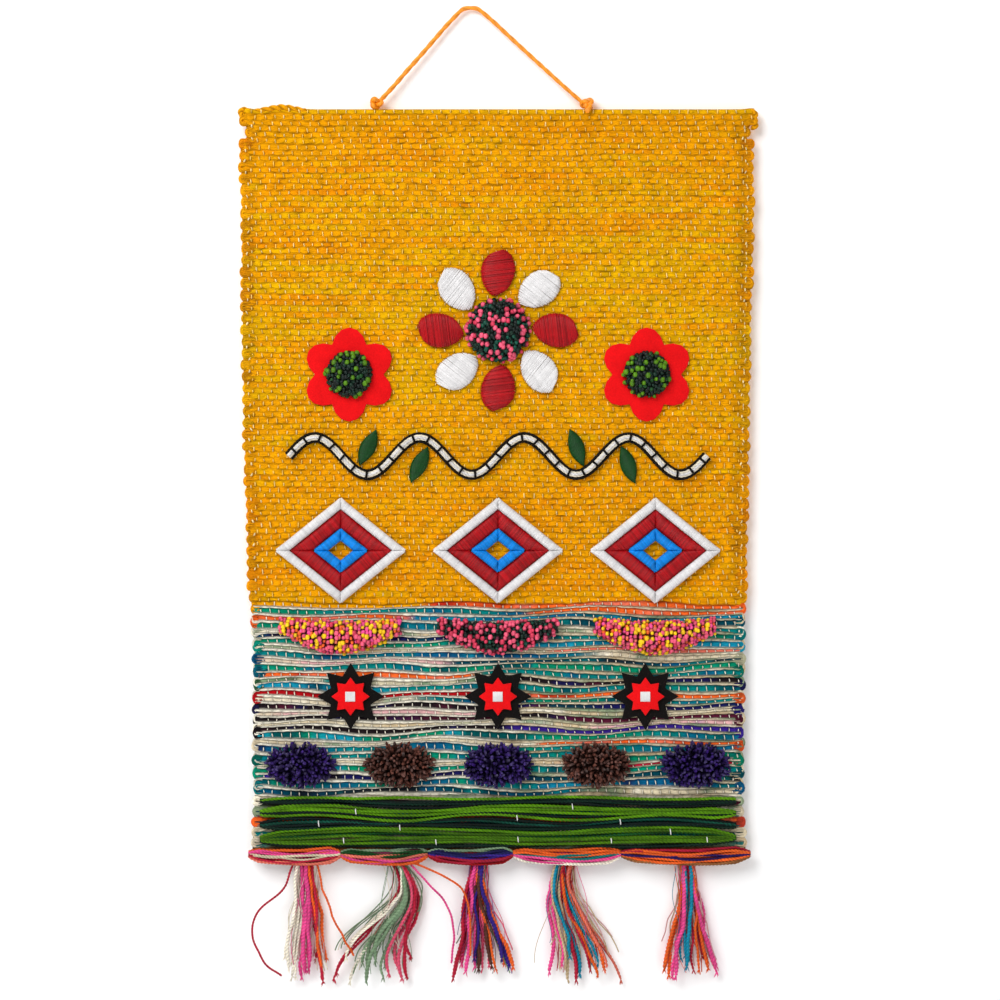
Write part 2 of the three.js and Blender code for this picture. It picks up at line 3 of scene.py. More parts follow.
import bpy
import numpy as np
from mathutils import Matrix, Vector


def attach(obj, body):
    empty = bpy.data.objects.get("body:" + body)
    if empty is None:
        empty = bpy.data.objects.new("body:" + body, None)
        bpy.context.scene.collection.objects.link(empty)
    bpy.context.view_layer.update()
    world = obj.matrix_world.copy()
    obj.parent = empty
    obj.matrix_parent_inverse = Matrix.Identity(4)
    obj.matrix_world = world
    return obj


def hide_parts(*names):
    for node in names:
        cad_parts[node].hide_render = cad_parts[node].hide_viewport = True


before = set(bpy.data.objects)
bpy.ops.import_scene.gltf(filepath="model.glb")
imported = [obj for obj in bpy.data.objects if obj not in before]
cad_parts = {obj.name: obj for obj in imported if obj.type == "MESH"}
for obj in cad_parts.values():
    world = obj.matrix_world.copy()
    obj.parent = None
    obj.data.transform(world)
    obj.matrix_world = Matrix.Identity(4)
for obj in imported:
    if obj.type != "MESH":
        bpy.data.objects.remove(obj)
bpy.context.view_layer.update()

# Places on the cloth, in millimetres: across from its middle, down from its top edge, out from the wall

CLOTH_ASIDE = 19.6
CLOTH_TOP = 70.0
CLOTH_LENGTH = 520.8
SHEET_FRONT = 7.2
SHEET_BACK = 3.9
SHEET_HALF_WIDTH = 178
EDGE_INSET = 1.6
WARP_PAIRS = 54
SIDES = (("left", -1), ("right", 1))
SEWN_ON = 7.5
FELT_THICKNESS = 2.0
GAP = 0.3
ON_FELT = SEWN_ON + FELT_THICKNESS + GAP


def on_cloth(across, down, out):
    """Points in the row frame for places on the cloth."""
    across, down, out = np.broadcast_arrays(across, down, out)
    return np.stack([across + CLOTH_ASIDE, -out, -CLOTH_TOP - down], axis=-1).astype(float)


def laid(places):
    """Points in the row frame for rows of (across, down, out)."""
    return on_cloth(*np.moveaxis(places, -1, 0))


# Dyes


def dye(red, green, blue):
    """A colour given as a screen shows it, as the light that it reflects."""
    shown = np.array([red, green, blue]) / 255
    return np.where(shown <= 0.04045, shown / 12.92, ((shown + 0.055) / 1.055) ** 2.4)


DYES = {
    "mustard": dye(224, 150, 0),
    "orange_mustard": dye(222, 134, 0),
    "lemon": dye(210, 170, 0),
    "ochre": dye(198, 128, 0),
    "warp_yellow": dye(255, 208, 92),
    "warp_white": dye(255, 232, 170),
    "warp_pale": dye(250, 242, 222),
    "cord_orange": dye(246, 146, 8),
    "cream": dye(212, 198, 168),
    "ivory": dye(238, 231, 212),
    "beige": dye(200, 176, 138),
    "white": dye(226, 224, 224),
    "black": dye(12, 9, 8),
    "charcoal": dye(26, 18, 22),
    "orange": dye(232, 96, 34),
    "salmon": dye(222, 112, 92),
    "hot_pink": dye(230, 74, 142),
    "pink": dye(222, 82, 112),
    "rose": dye(196, 48, 78),
    "pale_pink": dye(214, 164, 164),
    "lilac": dye(176, 138, 182),
    "crimson": dye(178, 26, 54),
    "dark_red": dye(164, 8, 18),
    "felt_red": dye(222, 10, 16),
    "plum": dye(80, 20, 44),
    "teal": dye(0, 120, 118),
    "deep_teal": dye(0, 62, 76),
    "sea_green": dye(0, 132, 96),
    "turquoise": dye(16, 138, 168),
    "blue": dye(0, 132, 220),
    "sea_blue": dye(4, 84, 124),
    "navy": dye(22, 22, 78),
    "indigo": dye(50, 30, 126),
    "purple": dye(38, 14, 84),
    "sage": dye(118, 144, 112),
    "lime": dye(74, 122, 0),
    "leaf_green": dye(12, 66, 22),
    "pine": dye(0, 72, 56),
    "dark_green": dye(0, 34, 22),
    "night_green": dye(0, 18, 14),
    "brown": dye(84, 46, 36),
    "jute_brown": dye(144, 92, 50),
    "yellow": dye(236, 188, 10),
}


def slow_noise(rng, count, step):
    """Numbers between -1 and 1 that change slowly along a row."""
    knots = rng.uniform(-1, 1, int(count / step) + 4)
    return np.interp(np.arange(count) / step + rng.uniform(0, 1), np.arange(len(knots)), knots)


def varied(rng, count, spread, step):
    """Factors about 1 that change slowly along a row."""
    return 1 + spread * slow_noise(rng, count, step)


def blended(first, second, share):
    """Two dyes, or rows of dyes, mixed by the share that the second has."""
    return first * (1 - share) + second * share


# Routes


def smooth_route(points, stations):
    """Even stations on one smooth curve through the points."""
    points = np.asarray(points, float)
    padded = np.vstack([2 * points[0] - points[1], points, 2 * points[-1] - points[-2]])
    pieces = []
    for before, start, end, after in zip(padded, padded[1:], padded[2:], padded[3:]):
        t = np.linspace(0, 1, 24, endpoint=False)[:, None]
        bend = 2 * before - 5 * start + 4 * end - after
        swing = 3 * start - before - 3 * end + after
        pieces.append(start + 0.5 * ((end - before) * t + bend * t ** 2 + swing * t ** 3))
    fine = np.vstack(pieces + [points[-1:]])
    return evenly(fine, stations)


def evenly(route, stations):
    """The same route with its stations equally far apart."""
    steps = np.linalg.norm(np.diff(route, axis=0), axis=1)
    lengths = np.concatenate([[0], np.cumsum(steps)])
    wanted = np.linspace(0, lengths[-1], stations)
    return np.stack([np.interp(wanted, lengths, route[:, axis]) for axis in range(3)], axis=1)


# Yarns as tubes. A part is a dictionary of points, faces, their UVs and the dye at each point.


def tubes(
    routes, radii, dyes, sides=6, plies=0, twist=6.0, groove=0.2, flat=1.0,
    sideways=(0, 1, 0), pointed=False,
):
    """Closed tubes along routes of (tube, station, axis).

    A plied one has a furrow between its plies, with painted shade in the furrow and a painted highlight on
    the crowns. A pointed one runs out to nothing at both ends.
    """
    routes = np.asarray(routes, float)
    radii = np.broadcast_to(radii, routes.shape[:2])
    dyes = np.broadcast_to(dyes, routes.shape)
    along = np.gradient(routes, axis=1)
    along /= np.linalg.norm(along, axis=2, keepdims=True) + 1e-12
    ends = routes[:, [0, -1]]
    if pointed:
        routes, radii, dyes, along = (values[:, 1:-1] for values in (routes, radii, dyes, along))
    count, stations = routes.shape[:2]
    across = np.cross(along, np.broadcast_to(sideways, along.shape))
    across /= np.linalg.norm(across, axis=2, keepdims=True) + 1e-12
    outward = np.cross(along, across)
    steps = np.linalg.norm(np.diff(routes, axis=1), axis=2)
    lengths = np.concatenate([np.zeros((count, 1)), np.cumsum(steps, axis=1)], axis=1)
    angles = np.arange(sides) * 2 * np.pi / sides
    radius = radii[:, :, None] * np.ones(sides)
    colours = dyes[:, :, None, :] * np.ones((sides, 1))
    if plies:
        phase = angles[None, None, :] - 2 * np.pi * lengths[:, :, None] / twist
        crown = np.abs(np.cos(phase * plies / 2))
        radius = radius * (1 - groove + groove * crown)
        # Painted shade darkens the furrow between the plies and a painted highlight lightens their crowns.
        colours = colours * (1 - 1.5 * groove * (1 - crown) ** 1.5 + 0.3 * groove * crown)[..., None]
    ring = across[:, :, None, :] * (np.cos(angles)[:, None] * radius[..., None])
    ring = ring + outward[:, :, None, :] * (np.sin(angles)[:, None] * radius[..., None] * flat)
    places = (routes[:, :, None, :] + ring).reshape(-1, 3)
    colours = colours.reshape(-1, 3)

    tube, station, side = np.meshgrid(
        np.arange(count), np.arange(stations - 1), np.arange(sides), indexing="ij"
    )
    tube, station, side = tube.ravel(), station.ravel(), side.ravel()
    here = (tube * stations + station) * sides
    there = here + sides
    after = (side + 1) % sides
    quads = np.stack([here + side, here + after, there + after, there + side], axis=1)
    low = lengths[tube, station]
    high = lengths[tube, station + 1]
    corners_u = np.stack([low, low, high, high], axis=1)
    corners_v = np.stack([side, side + 1, side + 1, side], axis=1) / sides
    quad_uvs = np.stack([corners_u, corners_v], axis=2)

    tips, fans, fan_uvs = [], [], []
    first_tip = len(places)
    for end, (station_at, outwards) in enumerate([(0, -1), (stations - 1, 1)]):
        lift = along[:, station_at] * outwards * radius[:, station_at, :1] * 0.6
        tips.append(ends[:, end] if pointed else routes[:, station_at] + lift)
        base = (np.arange(count) * stations + station_at)[:, None] * sides
        near = base + np.arange(sides)
        far = base + (np.arange(sides) + 1) % sides
        tip = np.broadcast_to(first_tip + end * count + np.arange(count)[:, None], near.shape)
        order = (tip, far, near) if outwards < 0 else (tip, near, far)
        fans.append(np.stack(order, axis=2).reshape(-1, 3))
        u = np.broadcast_to(lengths[:, station_at, None, None], (count, sides, 3))
        v = np.broadcast_to((np.arange(sides) / sides)[None, :, None], (count, sides, 3))
        fan_uvs.append(np.stack([u, v], axis=3).reshape(-1, 3, 2))
    part = {
        "places": np.vstack([places] + tips),
        "quads": quads,
        "quad_uvs": quad_uvs,
        "fans": np.vstack(fans),
        "fan_uvs": np.vstack(fan_uvs),
        "dyes": np.vstack([colours, dyes[:, 0], dyes[:, -1]]),
    }
    return facing_out(part)


def facing_out(part):
    """Turns the faces round if the closed part's volume comes out below zero."""
    places = part["places"] - part["places"].mean(axis=0)
    a, b, c, d = (places[part["quads"][:, i]] for i in range(4))
    volume = (np.cross(b - a, c - a) * a).sum() + (np.cross(c - a, d - a) * a).sum()
    if len(part["fans"]):
        a, b, c = (places[part["fans"][:, i]] for i in range(3))
        volume += (np.cross(b - a, c - a) * a).sum()
    if volume < 0:
        for faces in ("quads", "quad_uvs", "fans", "fan_uvs"):
            part[faces] = part[faces][:, ::-1]
    return part


def merged(parts):
    """Several parts as one."""
    whole = {key: [] for key in parts[0]}
    start = 0
    for part in parts:
        for key, values in part.items():
            whole[key].append(values + start if key in ("quads", "fans") else values)
        start += len(part["places"])
    return {key: np.concatenate(values) for key, values in whole.items()}


def placed(name, data):
    """A new object in the scene."""
    thing = bpy.data.objects.new(name, data)
    bpy.context.scene.collection.objects.link(thing)
    return thing


def make_piece(name, parts, material, nodes=()):
    """One object from parts in millimetres, riding on the hanging and standing for its CAD nodes."""
    part = merged(parts)
    quads, fans = part["quads"], part["fans"]
    corners = np.concatenate([quads.ravel(), fans.ravel()])
    starts = np.concatenate([np.arange(len(quads)) * 4, len(quads) * 4 + np.arange(len(fans)) * 3])
    mesh = bpy.data.meshes.new(name)
    mesh.vertices.add(len(part["places"]))
    mesh.vertices.foreach_set("co", (part["places"] / 1000).ravel())
    mesh.loops.add(len(corners))
    mesh.loops.foreach_set("vertex_index", corners.astype(np.int32))
    mesh.polygons.add(len(starts))
    mesh.polygons.foreach_set("loop_start", starts.astype(np.int32))
    mesh.update(calc_edges=True)
    uvs = np.concatenate([part["quad_uvs"].reshape(-1, 2), part["fan_uvs"].reshape(-1, 2)])
    mesh.uv_layers.new(name="UVMap").data.foreach_set("uv", uvs.ravel())
    colours = np.ones((len(part["places"]), 4))
    colours[:, :3] = part["dyes"]
    attribute = mesh.color_attributes.new(name="dye", type="FLOAT_COLOR", domain="POINT")
    attribute.data.foreach_set("color", colours.ravel())
    mesh.polygons.foreach_set("use_smooth", np.ones(len(starts), dtype=bool))
    mesh.validate()
    piece = placed(name, mesh)
    return dressed(piece, material, nodes)


def dressed(piece, material, nodes):
    """Gives a piece its material and its place in the row, and hides the CAD nodes that it stands for."""
    piece.data.materials.clear()
    piece.data.materials.append(material)
    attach(piece, "root")
    if nodes:
        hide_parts(*nodes)
    return piece


# Shader node groups


def feed(tree, value, socket):
    """Gives a socket a number or another node's output."""
    if isinstance(value, (int, float)):
        socket.default_value = value
    else:
        tree.links.new(value, socket)


def calculate(tree, operation, first, second=None, third=None):
    """A Math node; each value is a number or another node's output."""
    node = tree.nodes.new("ShaderNodeMath")
    node.operation = operation
    for socket, value in zip(node.inputs, (first, second, third)):
        if value is not None:
            feed(tree, value, socket)
    return node.outputs[0]


def weighted(tree, first, first_weight, second, second_weight):
    """Two values added up, each times its weight."""
    rest = calculate(tree, "MULTIPLY", second, second_weight)
    return calculate(tree, "MULTIPLY_ADD", first, first_weight, rest)


def noise_at(tree, vector, scale, detail=2.0, roughness=0.5):
    node = tree.nodes.new("ShaderNodeTexNoise")
    node.inputs["Detail"].default_value = detail
    node.inputs["Roughness"].default_value = roughness
    feed(tree, scale, node.inputs["Scale"])
    tree.links.new(vector, node.inputs["Vector"])
    return node.outputs["Fac"]


def uv_place(tree):
    """The two numbers of the UV map: length and turn on a yarn, warp end and row on the cloth."""
    uv = tree.nodes.new("ShaderNodeUVMap")
    uv.uv_map = "UVMap"
    split = tree.nodes.new("ShaderNodeSeparateXYZ")
    tree.links.new(uv.outputs["UV"], split.inputs[0])
    return split.outputs["X"], split.outputs["Y"]


def object_place(tree):
    return tree.nodes.new("ShaderNodeTexCoord").outputs["Object"]


def put_out(group, values):
    """Gives a node group an output for each value worked out in it."""
    for label in values:
        group.interface.new_socket(name=label, in_out="OUTPUT", socket_type="NodeSocketFloat")
    result = group.nodes.new("NodeGroupOutput")
    for label, value in values.items():
        group.links.new(value, result.inputs[label])
    return group


def fibre_group():
    """Fine fibres that wind round a yarn, from its length and turn."""
    group = bpy.data.node_groups.new("Twisted fibres", "ShaderNodeTree")
    for label in ("Turns per mm", "Fineness"):
        group.interface.new_socket(name=label, in_out="INPUT", socket_type="NodeSocketFloat")
    given = group.nodes.new("NodeGroupInput").outputs
    length, turn = uv_place(group)
    wound = calculate(group, "MULTIPLY_ADD", length, given["Turns per mm"], turn)
    angle = calculate(group, "MULTIPLY", wound, 2 * math.pi)
    place = group.nodes.new("ShaderNodeCombineXYZ")
    group.links.new(calculate(group, "COSINE", angle), place.inputs["X"])
    group.links.new(calculate(group, "SINE", angle), place.inputs["Y"])
    group.links.new(calculate(group, "MULTIPLY", length, 0.09), place.inputs["Z"])
    streaks = noise_at(group, place.outputs[0], given["Fineness"], 3.0, 0.6)
    mottle = noise_at(group, object_place(group), 160.0)
    return put_out(group, {"Height": streaks, "Shade": weighted(group, streaks, 0.7, mottle, 0.3)})


def off_edges(tree, within, steepness):
    """1 over the middle of a cell, falling to 0 at both of its edges."""
    off_middle = calculate(tree, "ABSOLUTE", calculate(tree, "SUBTRACT", within, 0.5))
    rise = calculate(tree, "MULTIPLY", calculate(tree, "SUBTRACT", 0.5, off_middle), steepness)
    return calculate(tree, "SMOOTH_MIN", 1.0, rise, 0.2)


def slub_group():
    """Loosely spun weft: flat streaks along each row, and shade beside each warp end and under it."""
    group = bpy.data.node_groups.new("Slub weave", "ShaderNodeTree")
    stretch = group.nodes.new("ShaderNodeMapping")
    stretch.inputs["Rotation"].default_value = (0.0, 0.12, 0.0)
    stretch.inputs["Scale"].default_value = (260.0, 700.0, 1700.0)
    group.links.new(object_place(group), stretch.inputs["Vector"])
    streaks = noise_at(group, stretch.outputs["Vector"], 1.0, 4.0, 0.65)
    along, row = uv_place(group)
    within = calculate(group, "FRACT", calculate(group, "ADD", along, 100.0))
    beside = off_edges(group, within, 7.0)
    edge = calculate(group, "MULTIPLY", beside, off_edges(group, calculate(group, "FRACT", row), 6.0))
    # Painted shadow cast just past each warp end, shown only in patches.
    past = calculate(group, "SMOOTH_MIN", 1.0, calculate(group, "MULTIPLY", within, 5.5), 0.3)
    shadow_patches = calculate(group, "MULTIPLY", noise_at(group, stretch.outputs["Vector"], 0.23), 1.5)
    shadow_past_end = calculate(group, "MAXIMUM", past, calculate(group, "SUBTRACT", 1.25, shadow_patches))
    shadow_past_end = calculate(group, "MINIMUM", shadow_past_end, 1.0)
    return put_out(group, {"Streaks": streaks, "Edge": edge, "Shadow past end": shadow_past_end})


def nap_group():
    """Short matted wool, as on felt."""
    group = bpy.data.node_groups.new("Felt nap", "ShaderNodeTree")
    place = object_place(group)
    fine = noise_at(group, place, 900.0, 5.0, 0.75)
    broad = noise_at(group, place, 90.0, 3.0)
    return put_out(group, {"Height": fine, "Shade": weighted(group, fine, 0.6, broad, 0.4)})


FIBRES = fibre_group()
SLUB = slub_group()
NAP = nap_group()


# Materials


def new_material(name, roughness, sheen, specular):
    material = bpy.data.materials.new(name)
    material.use_nodes = True
    tree = material.node_tree
    shader = tree.nodes["Principled BSDF"]
    shader.inputs["Roughness"].default_value = roughness
    shader.inputs["Sheen Weight"].default_value = sheen
    shader.inputs["Sheen Roughness"].default_value = 0.5
    shader.inputs["Specular IOR Level"].default_value = specular
    return material, tree, shader


def shaded_colour(tree, shader, colour, shade, darkest, lightest):
    """Multiplies a colour by a varying shade, on its way to the Base Color."""
    spread = tree.nodes.new("ShaderNodeMapRange")
    spread.inputs["From Min"].default_value = 0.3
    spread.inputs["From Max"].default_value = 0.7
    spread.inputs["To Min"].default_value = darkest
    spread.inputs["To Max"].default_value = lightest
    tree.links.new(shade, spread.inputs["Value"])
    multiply = tree.nodes.new("ShaderNodeMix")
    multiply.data_type = "RGBA"
    multiply.blend_type = "MULTIPLY"
    multiply.inputs["Factor"].default_value = 1.0
    tree.links.new(colour, multiply.inputs["A"])
    tree.links.new(spread.outputs["Result"], multiply.inputs["B"])
    tree.links.new(multiply.outputs["Result"], shader.inputs["Base Color"])


def raised(tree, shader, height, distance, strength):
    bump = tree.nodes.new("ShaderNodeBump")
    bump.inputs["Distance"].default_value = distance
    bump.inputs["Strength"].default_value = strength
    tree.links.new(height, bump.inputs["Height"])
    tree.links.new(bump.outputs["Normal"], shader.inputs["Normal"])


def dye_attribute(tree):
    node = tree.nodes.new("ShaderNodeAttribute")
    node.attribute_name = "dye"
    return node.outputs["Color"]


def using(tree, group, values=None):
    """The outputs of a shared group's node, with its inputs set."""
    node = tree.nodes.new("ShaderNodeGroup")
    node.node_tree = group
    for label, value in (values or {}).items():
        node.inputs[label].default_value = value
    return node.outputs


def yarn_material(
    name, roughness=0.8, sheen=0.0, specular=0.3, turns=0.2, fineness=3.0, depth=0.0004, spread=0.3
):
    """Yarn in its own dyes, with fibres that wind round it."""
    material, tree, shader = new_material(name, roughness, sheen, specular)
    fibres = using(tree, FIBRES, {"Turns per mm": turns, "Fineness": fineness})
    shaded_colour(tree, shader, dye_attribute(tree), fibres["Shade"], 1 - spread, 1 + spread * 0.6)
    raised(tree, shader, fibres["Height"], depth, 0.7)
    return material


def weave_material(name):
    """Weft in its own dyes, with painted shade beside each warp end and at the edges of each row, and a
    painted shadow just past each warp end.
    """
    material, tree, shader = new_material(name, 0.85, 0.0, 0.06)
    slub = using(tree, SLUB)
    # Painted shade at the edges of each row and beside each warp end, then the painted shadow just past each
    # end.
    soft = calculate(tree, "MULTIPLY_ADD", slub["Edge"], 0.12, 0.9)
    past = calculate(tree, "MULTIPLY_ADD", slub["Shadow past end"], 0.36, 0.64)
    shade = calculate(tree, "MULTIPLY", calculate(tree, "MULTIPLY", slub["Streaks"], soft), past)
    shaded_colour(tree, shader, dye_attribute(tree), shade, 0.62, 1.3)
    raised(tree, shader, weighted(tree, slub["Streaks"], 0.8, slub["Edge"], 1.0), 0.0006, 0.8)
    return material


def felt_material(name, colour):
    material, tree, shader = new_material(name, 0.92, 0.05, 0.12)
    nap = using(tree, NAP)
    tint = tree.nodes.new("ShaderNodeRGB")
    tint.outputs[0].default_value = (*[float(value) for value in colour], 1.0)
    shaded_colour(tree, shader, tint.outputs[0], nap["Shade"], 0.8, 1.15)
    raised(tree, shader, nap["Height"], 0.0004, 0.6)
    return material


WEAVE = weave_material("golden_weave")
WARP = yarn_material("warp_cotton", roughness=0.6, sheen=0.1, depth=0.0001, spread=0.12)
SELVEDGE = yarn_material("selvedge_jute", specular=0.1, turns=0.05, fineness=7.0, depth=0.0006, spread=0.4)
CORD = yarn_material("cord_rayon", roughness=0.45, specular=0.4, turns=0.11, fineness=4.0)
WOOL = yarn_material("wool_yarn", roughness=0.6, specular=0.14, fineness=4.0, spread=0.4)
PILE = yarn_material("pile_yarn", roughness=0.5, turns=0.3, depth=0.0003)
SATIN = yarn_material("satin_floss", roughness=0.42, specular=0.24, turns=0.1, depth=0.0001)
RED_FELT = felt_material("red_felt", DYES["felt_red"])
BLACK_FELT = felt_material("black_felt", DYES["black"])


# Camera

camera_data = bpy.data.cameras.new("camera")
camera_data.lens = 100
camera_data.sensor_width = 36
camera = placed("camera", camera_data)
camera.location = (0.021, -1.951, -0.3437)
camera.rotation_euler = (math.radians(90), 0, 0)
bpy.context.scene.camera = camera


# Hanging cord: two plies twisted together, from knot to knot over the nail

CORD_RADIUS = {"left": 1.7, "right": 1.48}
CORD_STATIONS = 430
# The way of the cord from the left knot over the nail to the right knot, in millimetres
CORD_ROUTE = [
    {"x": -61.1, "y": -4.2, "z": -61.9},
    {"x": -52.2, "y": -3.8, "z": -52.2},
    {"x": -45.2, "y": -3.5, "z": -43.9},
    {"x": -38.2, "y": -3.2, "z": -36.0},
    {"x": -31.2, "y": -2.9, "z": -28.0},
    {"x": -24.2, "y": -2.6, "z": -19.8},
    {"x": -17.2, "y": -2.2, "z": -11.6},
    {"x": -10.2, "y": -1.9, "z": -4.1},
    {"x": -7.0, "y": -1.8, "z": -0.9},
    {"x": -4.9, "y": -1.7, "z": 0.7},
    {"x": -2.4, "y": -1.7, "z": 1.4},
    {"x": 0, "y": -1.7, "z": 1.55},
    {"x": 2.8, "y": -1.7, "z": 1.5},
    {"x": 5.3, "y": -1.7, "z": 0.9},
    {"x": 7.6, "y": -1.8, "z": -0.6},
    {"x": 10.8, "y": -1.9, "z": -3.2},
    {"x": 17.8, "y": -2.1, "z": -9.4},
    {"x": 24.9, "y": -2.4, "z": -16.1},
    {"x": 38.9, "y": -3.0, "z": -29.1},
    {"x": 52.9, "y": -3.5, "z": -42.0},
    {"x": 66.9, "y": -4.0, "z": -54.8},
    {"x": 78.6, "y": -4.2, "z": -65.0},
]
cord_points = [(place["x"], place["y"], place["z"]) for place in CORD_ROUTE]
cord_line = smooth_route(cord_points, CORD_STATIONS)
cord_radii = np.linspace(CORD_RADIUS["left"], CORD_RADIUS["right"], CORD_STATIONS)[None, :]
hanging_cord = make_piece(
    "twisted_hanging_cord",
    [tubes([cord_line], cord_radii, DYES["cord_orange"], sides=12, plies=2, twist=17.0, groove=0.22)],
    CORD, ["hanging_cord"],
)


def knot_turns(middle, width, height, lean):
    """The turns of an overhand knot, drawn tight."""
    t = np.linspace(0, 2 * np.pi, 90)
    across = (np.sin(t + lean) + 2 * np.sin(2 * t)) / 3
    up = (np.cos(t + lean) - 2 * np.cos(2 * t)) / 3
    reach = np.stack([across * (width / 2 - 1.1), -np.sin(3 * t) * 1.9, up * (height / 2 - 1.1)], axis=1)
    return middle + reach


def knot(name, middle, width, height, lean, neck, tail=None):
    """A tight knot, its neck that meets the cord, and a tail where it has one."""
    middle = np.array(middle)
    look = dict(dyes=DYES["cord_orange"], sides=8, plies=2, twist=14.0, groove=0.2)
    parts = [
        tubes([knot_turns(middle, width, height, lean)], 1.95, **look),
        tubes([smooth_route([middle, middle + neck], 12)], 1.5, **look),
    ]
    if tail:
        parts.append(tubes([smooth_route(middle + tail, 24)], 1.75, **look))
    return make_piece(name, parts, CORD, [name.replace("_turns", "")])


left_knot = knot("knot_left_turns", (-65.7, -4.0, -65.7), 9.6, 8.2, 0.6, neck=(4.6, -0.2, 3.8))
right_knot = knot(
    "knot_right_turns", (82.3, -4.3, -66.2), 9.4, 9.2, -0.6, neck=(-3.7, 0.1, 1.2),
    tail=[(2.2, -1.2, -0.4), (2.0, -4.6, -2.2), (0.4, -5.8, -4.4), (-0.6, -5.9, -6.6)],
)


# Woven ground: weft rows over and under a sparse warp

SELVEDGE_PLACES = [
    {"down": 0, "left": 181.0, "right": 181.3},
    {"down": 7, "left": 181.3, "right": 182.0},
    {"down": 13, "left": 178.0, "right": 177.4},
    {"down": 19, "left": 177.4, "right": 175.4},
    {"down": 25, "left": 182.0, "right": 179.2},
    {"down": 64, "left": 180.8, "right": 179.6},
    {"down": 162, "left": 180.3, "right": 177.8},
    {"down": 218, "left": 179.0, "right": 176.4},
    {"down": 316, "left": 176.4, "right": 175.0},
    {"down": 379, "left": 172.2, "right": 172.9},
    {"down": 484, "left": 172.0, "right": 172.2},
    {"down": 521, "left": 173.6, "right": 175.0},
]
FIELD_ROW = 4.05
STRIPES_FROM = 346.0
BORDER_FROM = 481.0

# Striped rows from the top down: the weft at the left, the weft at the right, the share of the way across
# where the one gives way to the other, and how high the row stands
STRIPES = [
    {"left": "mustard", "right": "orange", "change": 0.35, "height": 2.6},
    {"left": "teal", "right": "orange", "change": 0.55, "height": 2.6},
    {"left": "orange", "right": "turquoise", "change": 0.30, "height": 2.4},
    {"left": "teal", "right": "deep_teal", "change": 0.65, "height": 3.4},
    {"left": "cream", "right": "teal", "change": 0.75, "height": 2.4},
    {"left": "navy", "right": "teal", "change": 0.40, "height": 2.4},
    {"left": "sea_green", "right": "turquoise", "change": 0.50, "height": 3.2},
    {"left": "cream", "right": "salmon", "change": 0.60, "height": 2.4},
    {"left": "sea_blue", "right": "cream", "change": 0.70, "height": 2.8},
    {"left": "pale_pink", "right": "deep_teal", "change": 0.40, "height": 2.4},
    {"left": "teal", "right": "sea_green", "change": 0.35, "height": 3.4},
    {"left": "orange", "right": "teal", "change": 0.45, "height": 2.6},
    {"left": "sage", "right": "charcoal", "change": 0.50, "height": 2.4},
    {"left": "turquoise", "right": "teal", "change": 0.30, "height": 3.4},
    {"left": "dark_red", "right": "orange", "change": 0.55, "height": 2.2},
    {"left": "cream", "right": "teal", "change": 0.35, "height": 3.0},
    {"left": "charcoal", "right": "navy", "change": 0.60, "height": 2.4},
    {"left": "pale_pink", "right": "cream", "change": 0.50, "height": 2.6},
    {"left": "charcoal", "right": "plum", "change": 0.65, "height": 2.4},
    {"left": "cream", "right": "pale_pink", "change": 0.70, "height": 2.4},
    {"left": "charcoal", "right": "indigo", "change": 0.50, "height": 2.4},
    {"left": "sea_green", "right": "teal", "change": 0.80, "height": 3.4},
    {"left": "cream", "right": "orange", "change": 0.60, "height": 2.2},
    {"left": "sea_blue", "right": "teal", "change": 0.40, "height": 3.6},
    {"left": "teal", "right": "sea_green", "change": 0.60, "height": 3.6},
    {"left": "cream", "right": "crimson", "change": 0.65, "height": 2.2},
    {"left": "sea_green", "right": "teal", "change": 0.50, "height": 3.2},
    {"left": "navy", "right": "deep_teal", "change": 0.60, "height": 2.8},
    {"left": "teal", "right": "sea_blue", "change": 0.45, "height": 3.6},
    {"left": "deep_teal", "right": "cream", "change": 0.70, "height": 2.8},
]
THIN_ROW = 1.25
PALE_ROW_SHARE = 0.72
BEHIND_BORDER = [
    "cream", "charcoal", "cream", "teal", "orange", "deep_teal", "cream", "teal", "cream", "sage",
    "jute_brown",
]
# Wefts that were spun from more than one colour, and what they turn into along a row
VARIEGATED = {
    "teal": ["deep_teal", "sea_green", "sea_blue"],
    "sea_green": ["teal", "deep_teal", "turquoise"],
    "turquoise": ["teal", "sea_blue", "deep_teal"],
    "sea_blue": ["turquoise", "navy", "teal"],
    "deep_teal": ["sea_blue", "charcoal", "teal"],
    "orange": ["salmon", "dark_red", "orange"],
    "cream": ["ivory", "beige", "sage"],
    "pale_pink": ["cream", "lilac", "cream"],
    "charcoal": ["plum", "charcoal", "navy"],
    "navy": ["indigo", "deep_teal", "charcoal"],
    "sage": ["teal", "cream", "leaf_green"],
}


def edge_at(down, side):
    """How far the selvedge on a side lies from the middle."""
    downs = np.array([place["down"] for place in SELVEDGE_PLACES], float)
    edges = np.array([place[side] for place in SELVEDGE_PLACES], float)
    fine = np.linspace(0, downs[-1], 1042)
    place = np.clip(np.searchsorted(downs, fine, side="right") - 1, 0, len(downs) - 2)
    share = np.clip((fine - downs[place]) / (downs[place + 1] - downs[place]), 0, 1)
    smooth = share * share * (3 - 2 * share)
    return np.interp(down, fine, edges[place] + (edges[place + 1] - edges[place]) * smooth)


def inner_edges(down):
    """Where the sheet ends on the left and on the right, a little inside its selvedges."""
    return EDGE_INSET - edge_at(down, "left"), edge_at(down, "right") - EDGE_INSET


def hump(places, middle, width):
    """A smooth hump that is 1 high in its middle."""
    return np.exp(-(((places - middle) / width) ** 2))


def heading_rise(across):
    """How far the heading stands up above the cloth's top line."""
    ends = 1.4 * hump(across, -SHEET_HALF_WIDTH, 4) + 0.8 * hump(across, SHEET_HALF_WIDTH, 5)
    return 2.2 * hump(across, -151, 11) + ends


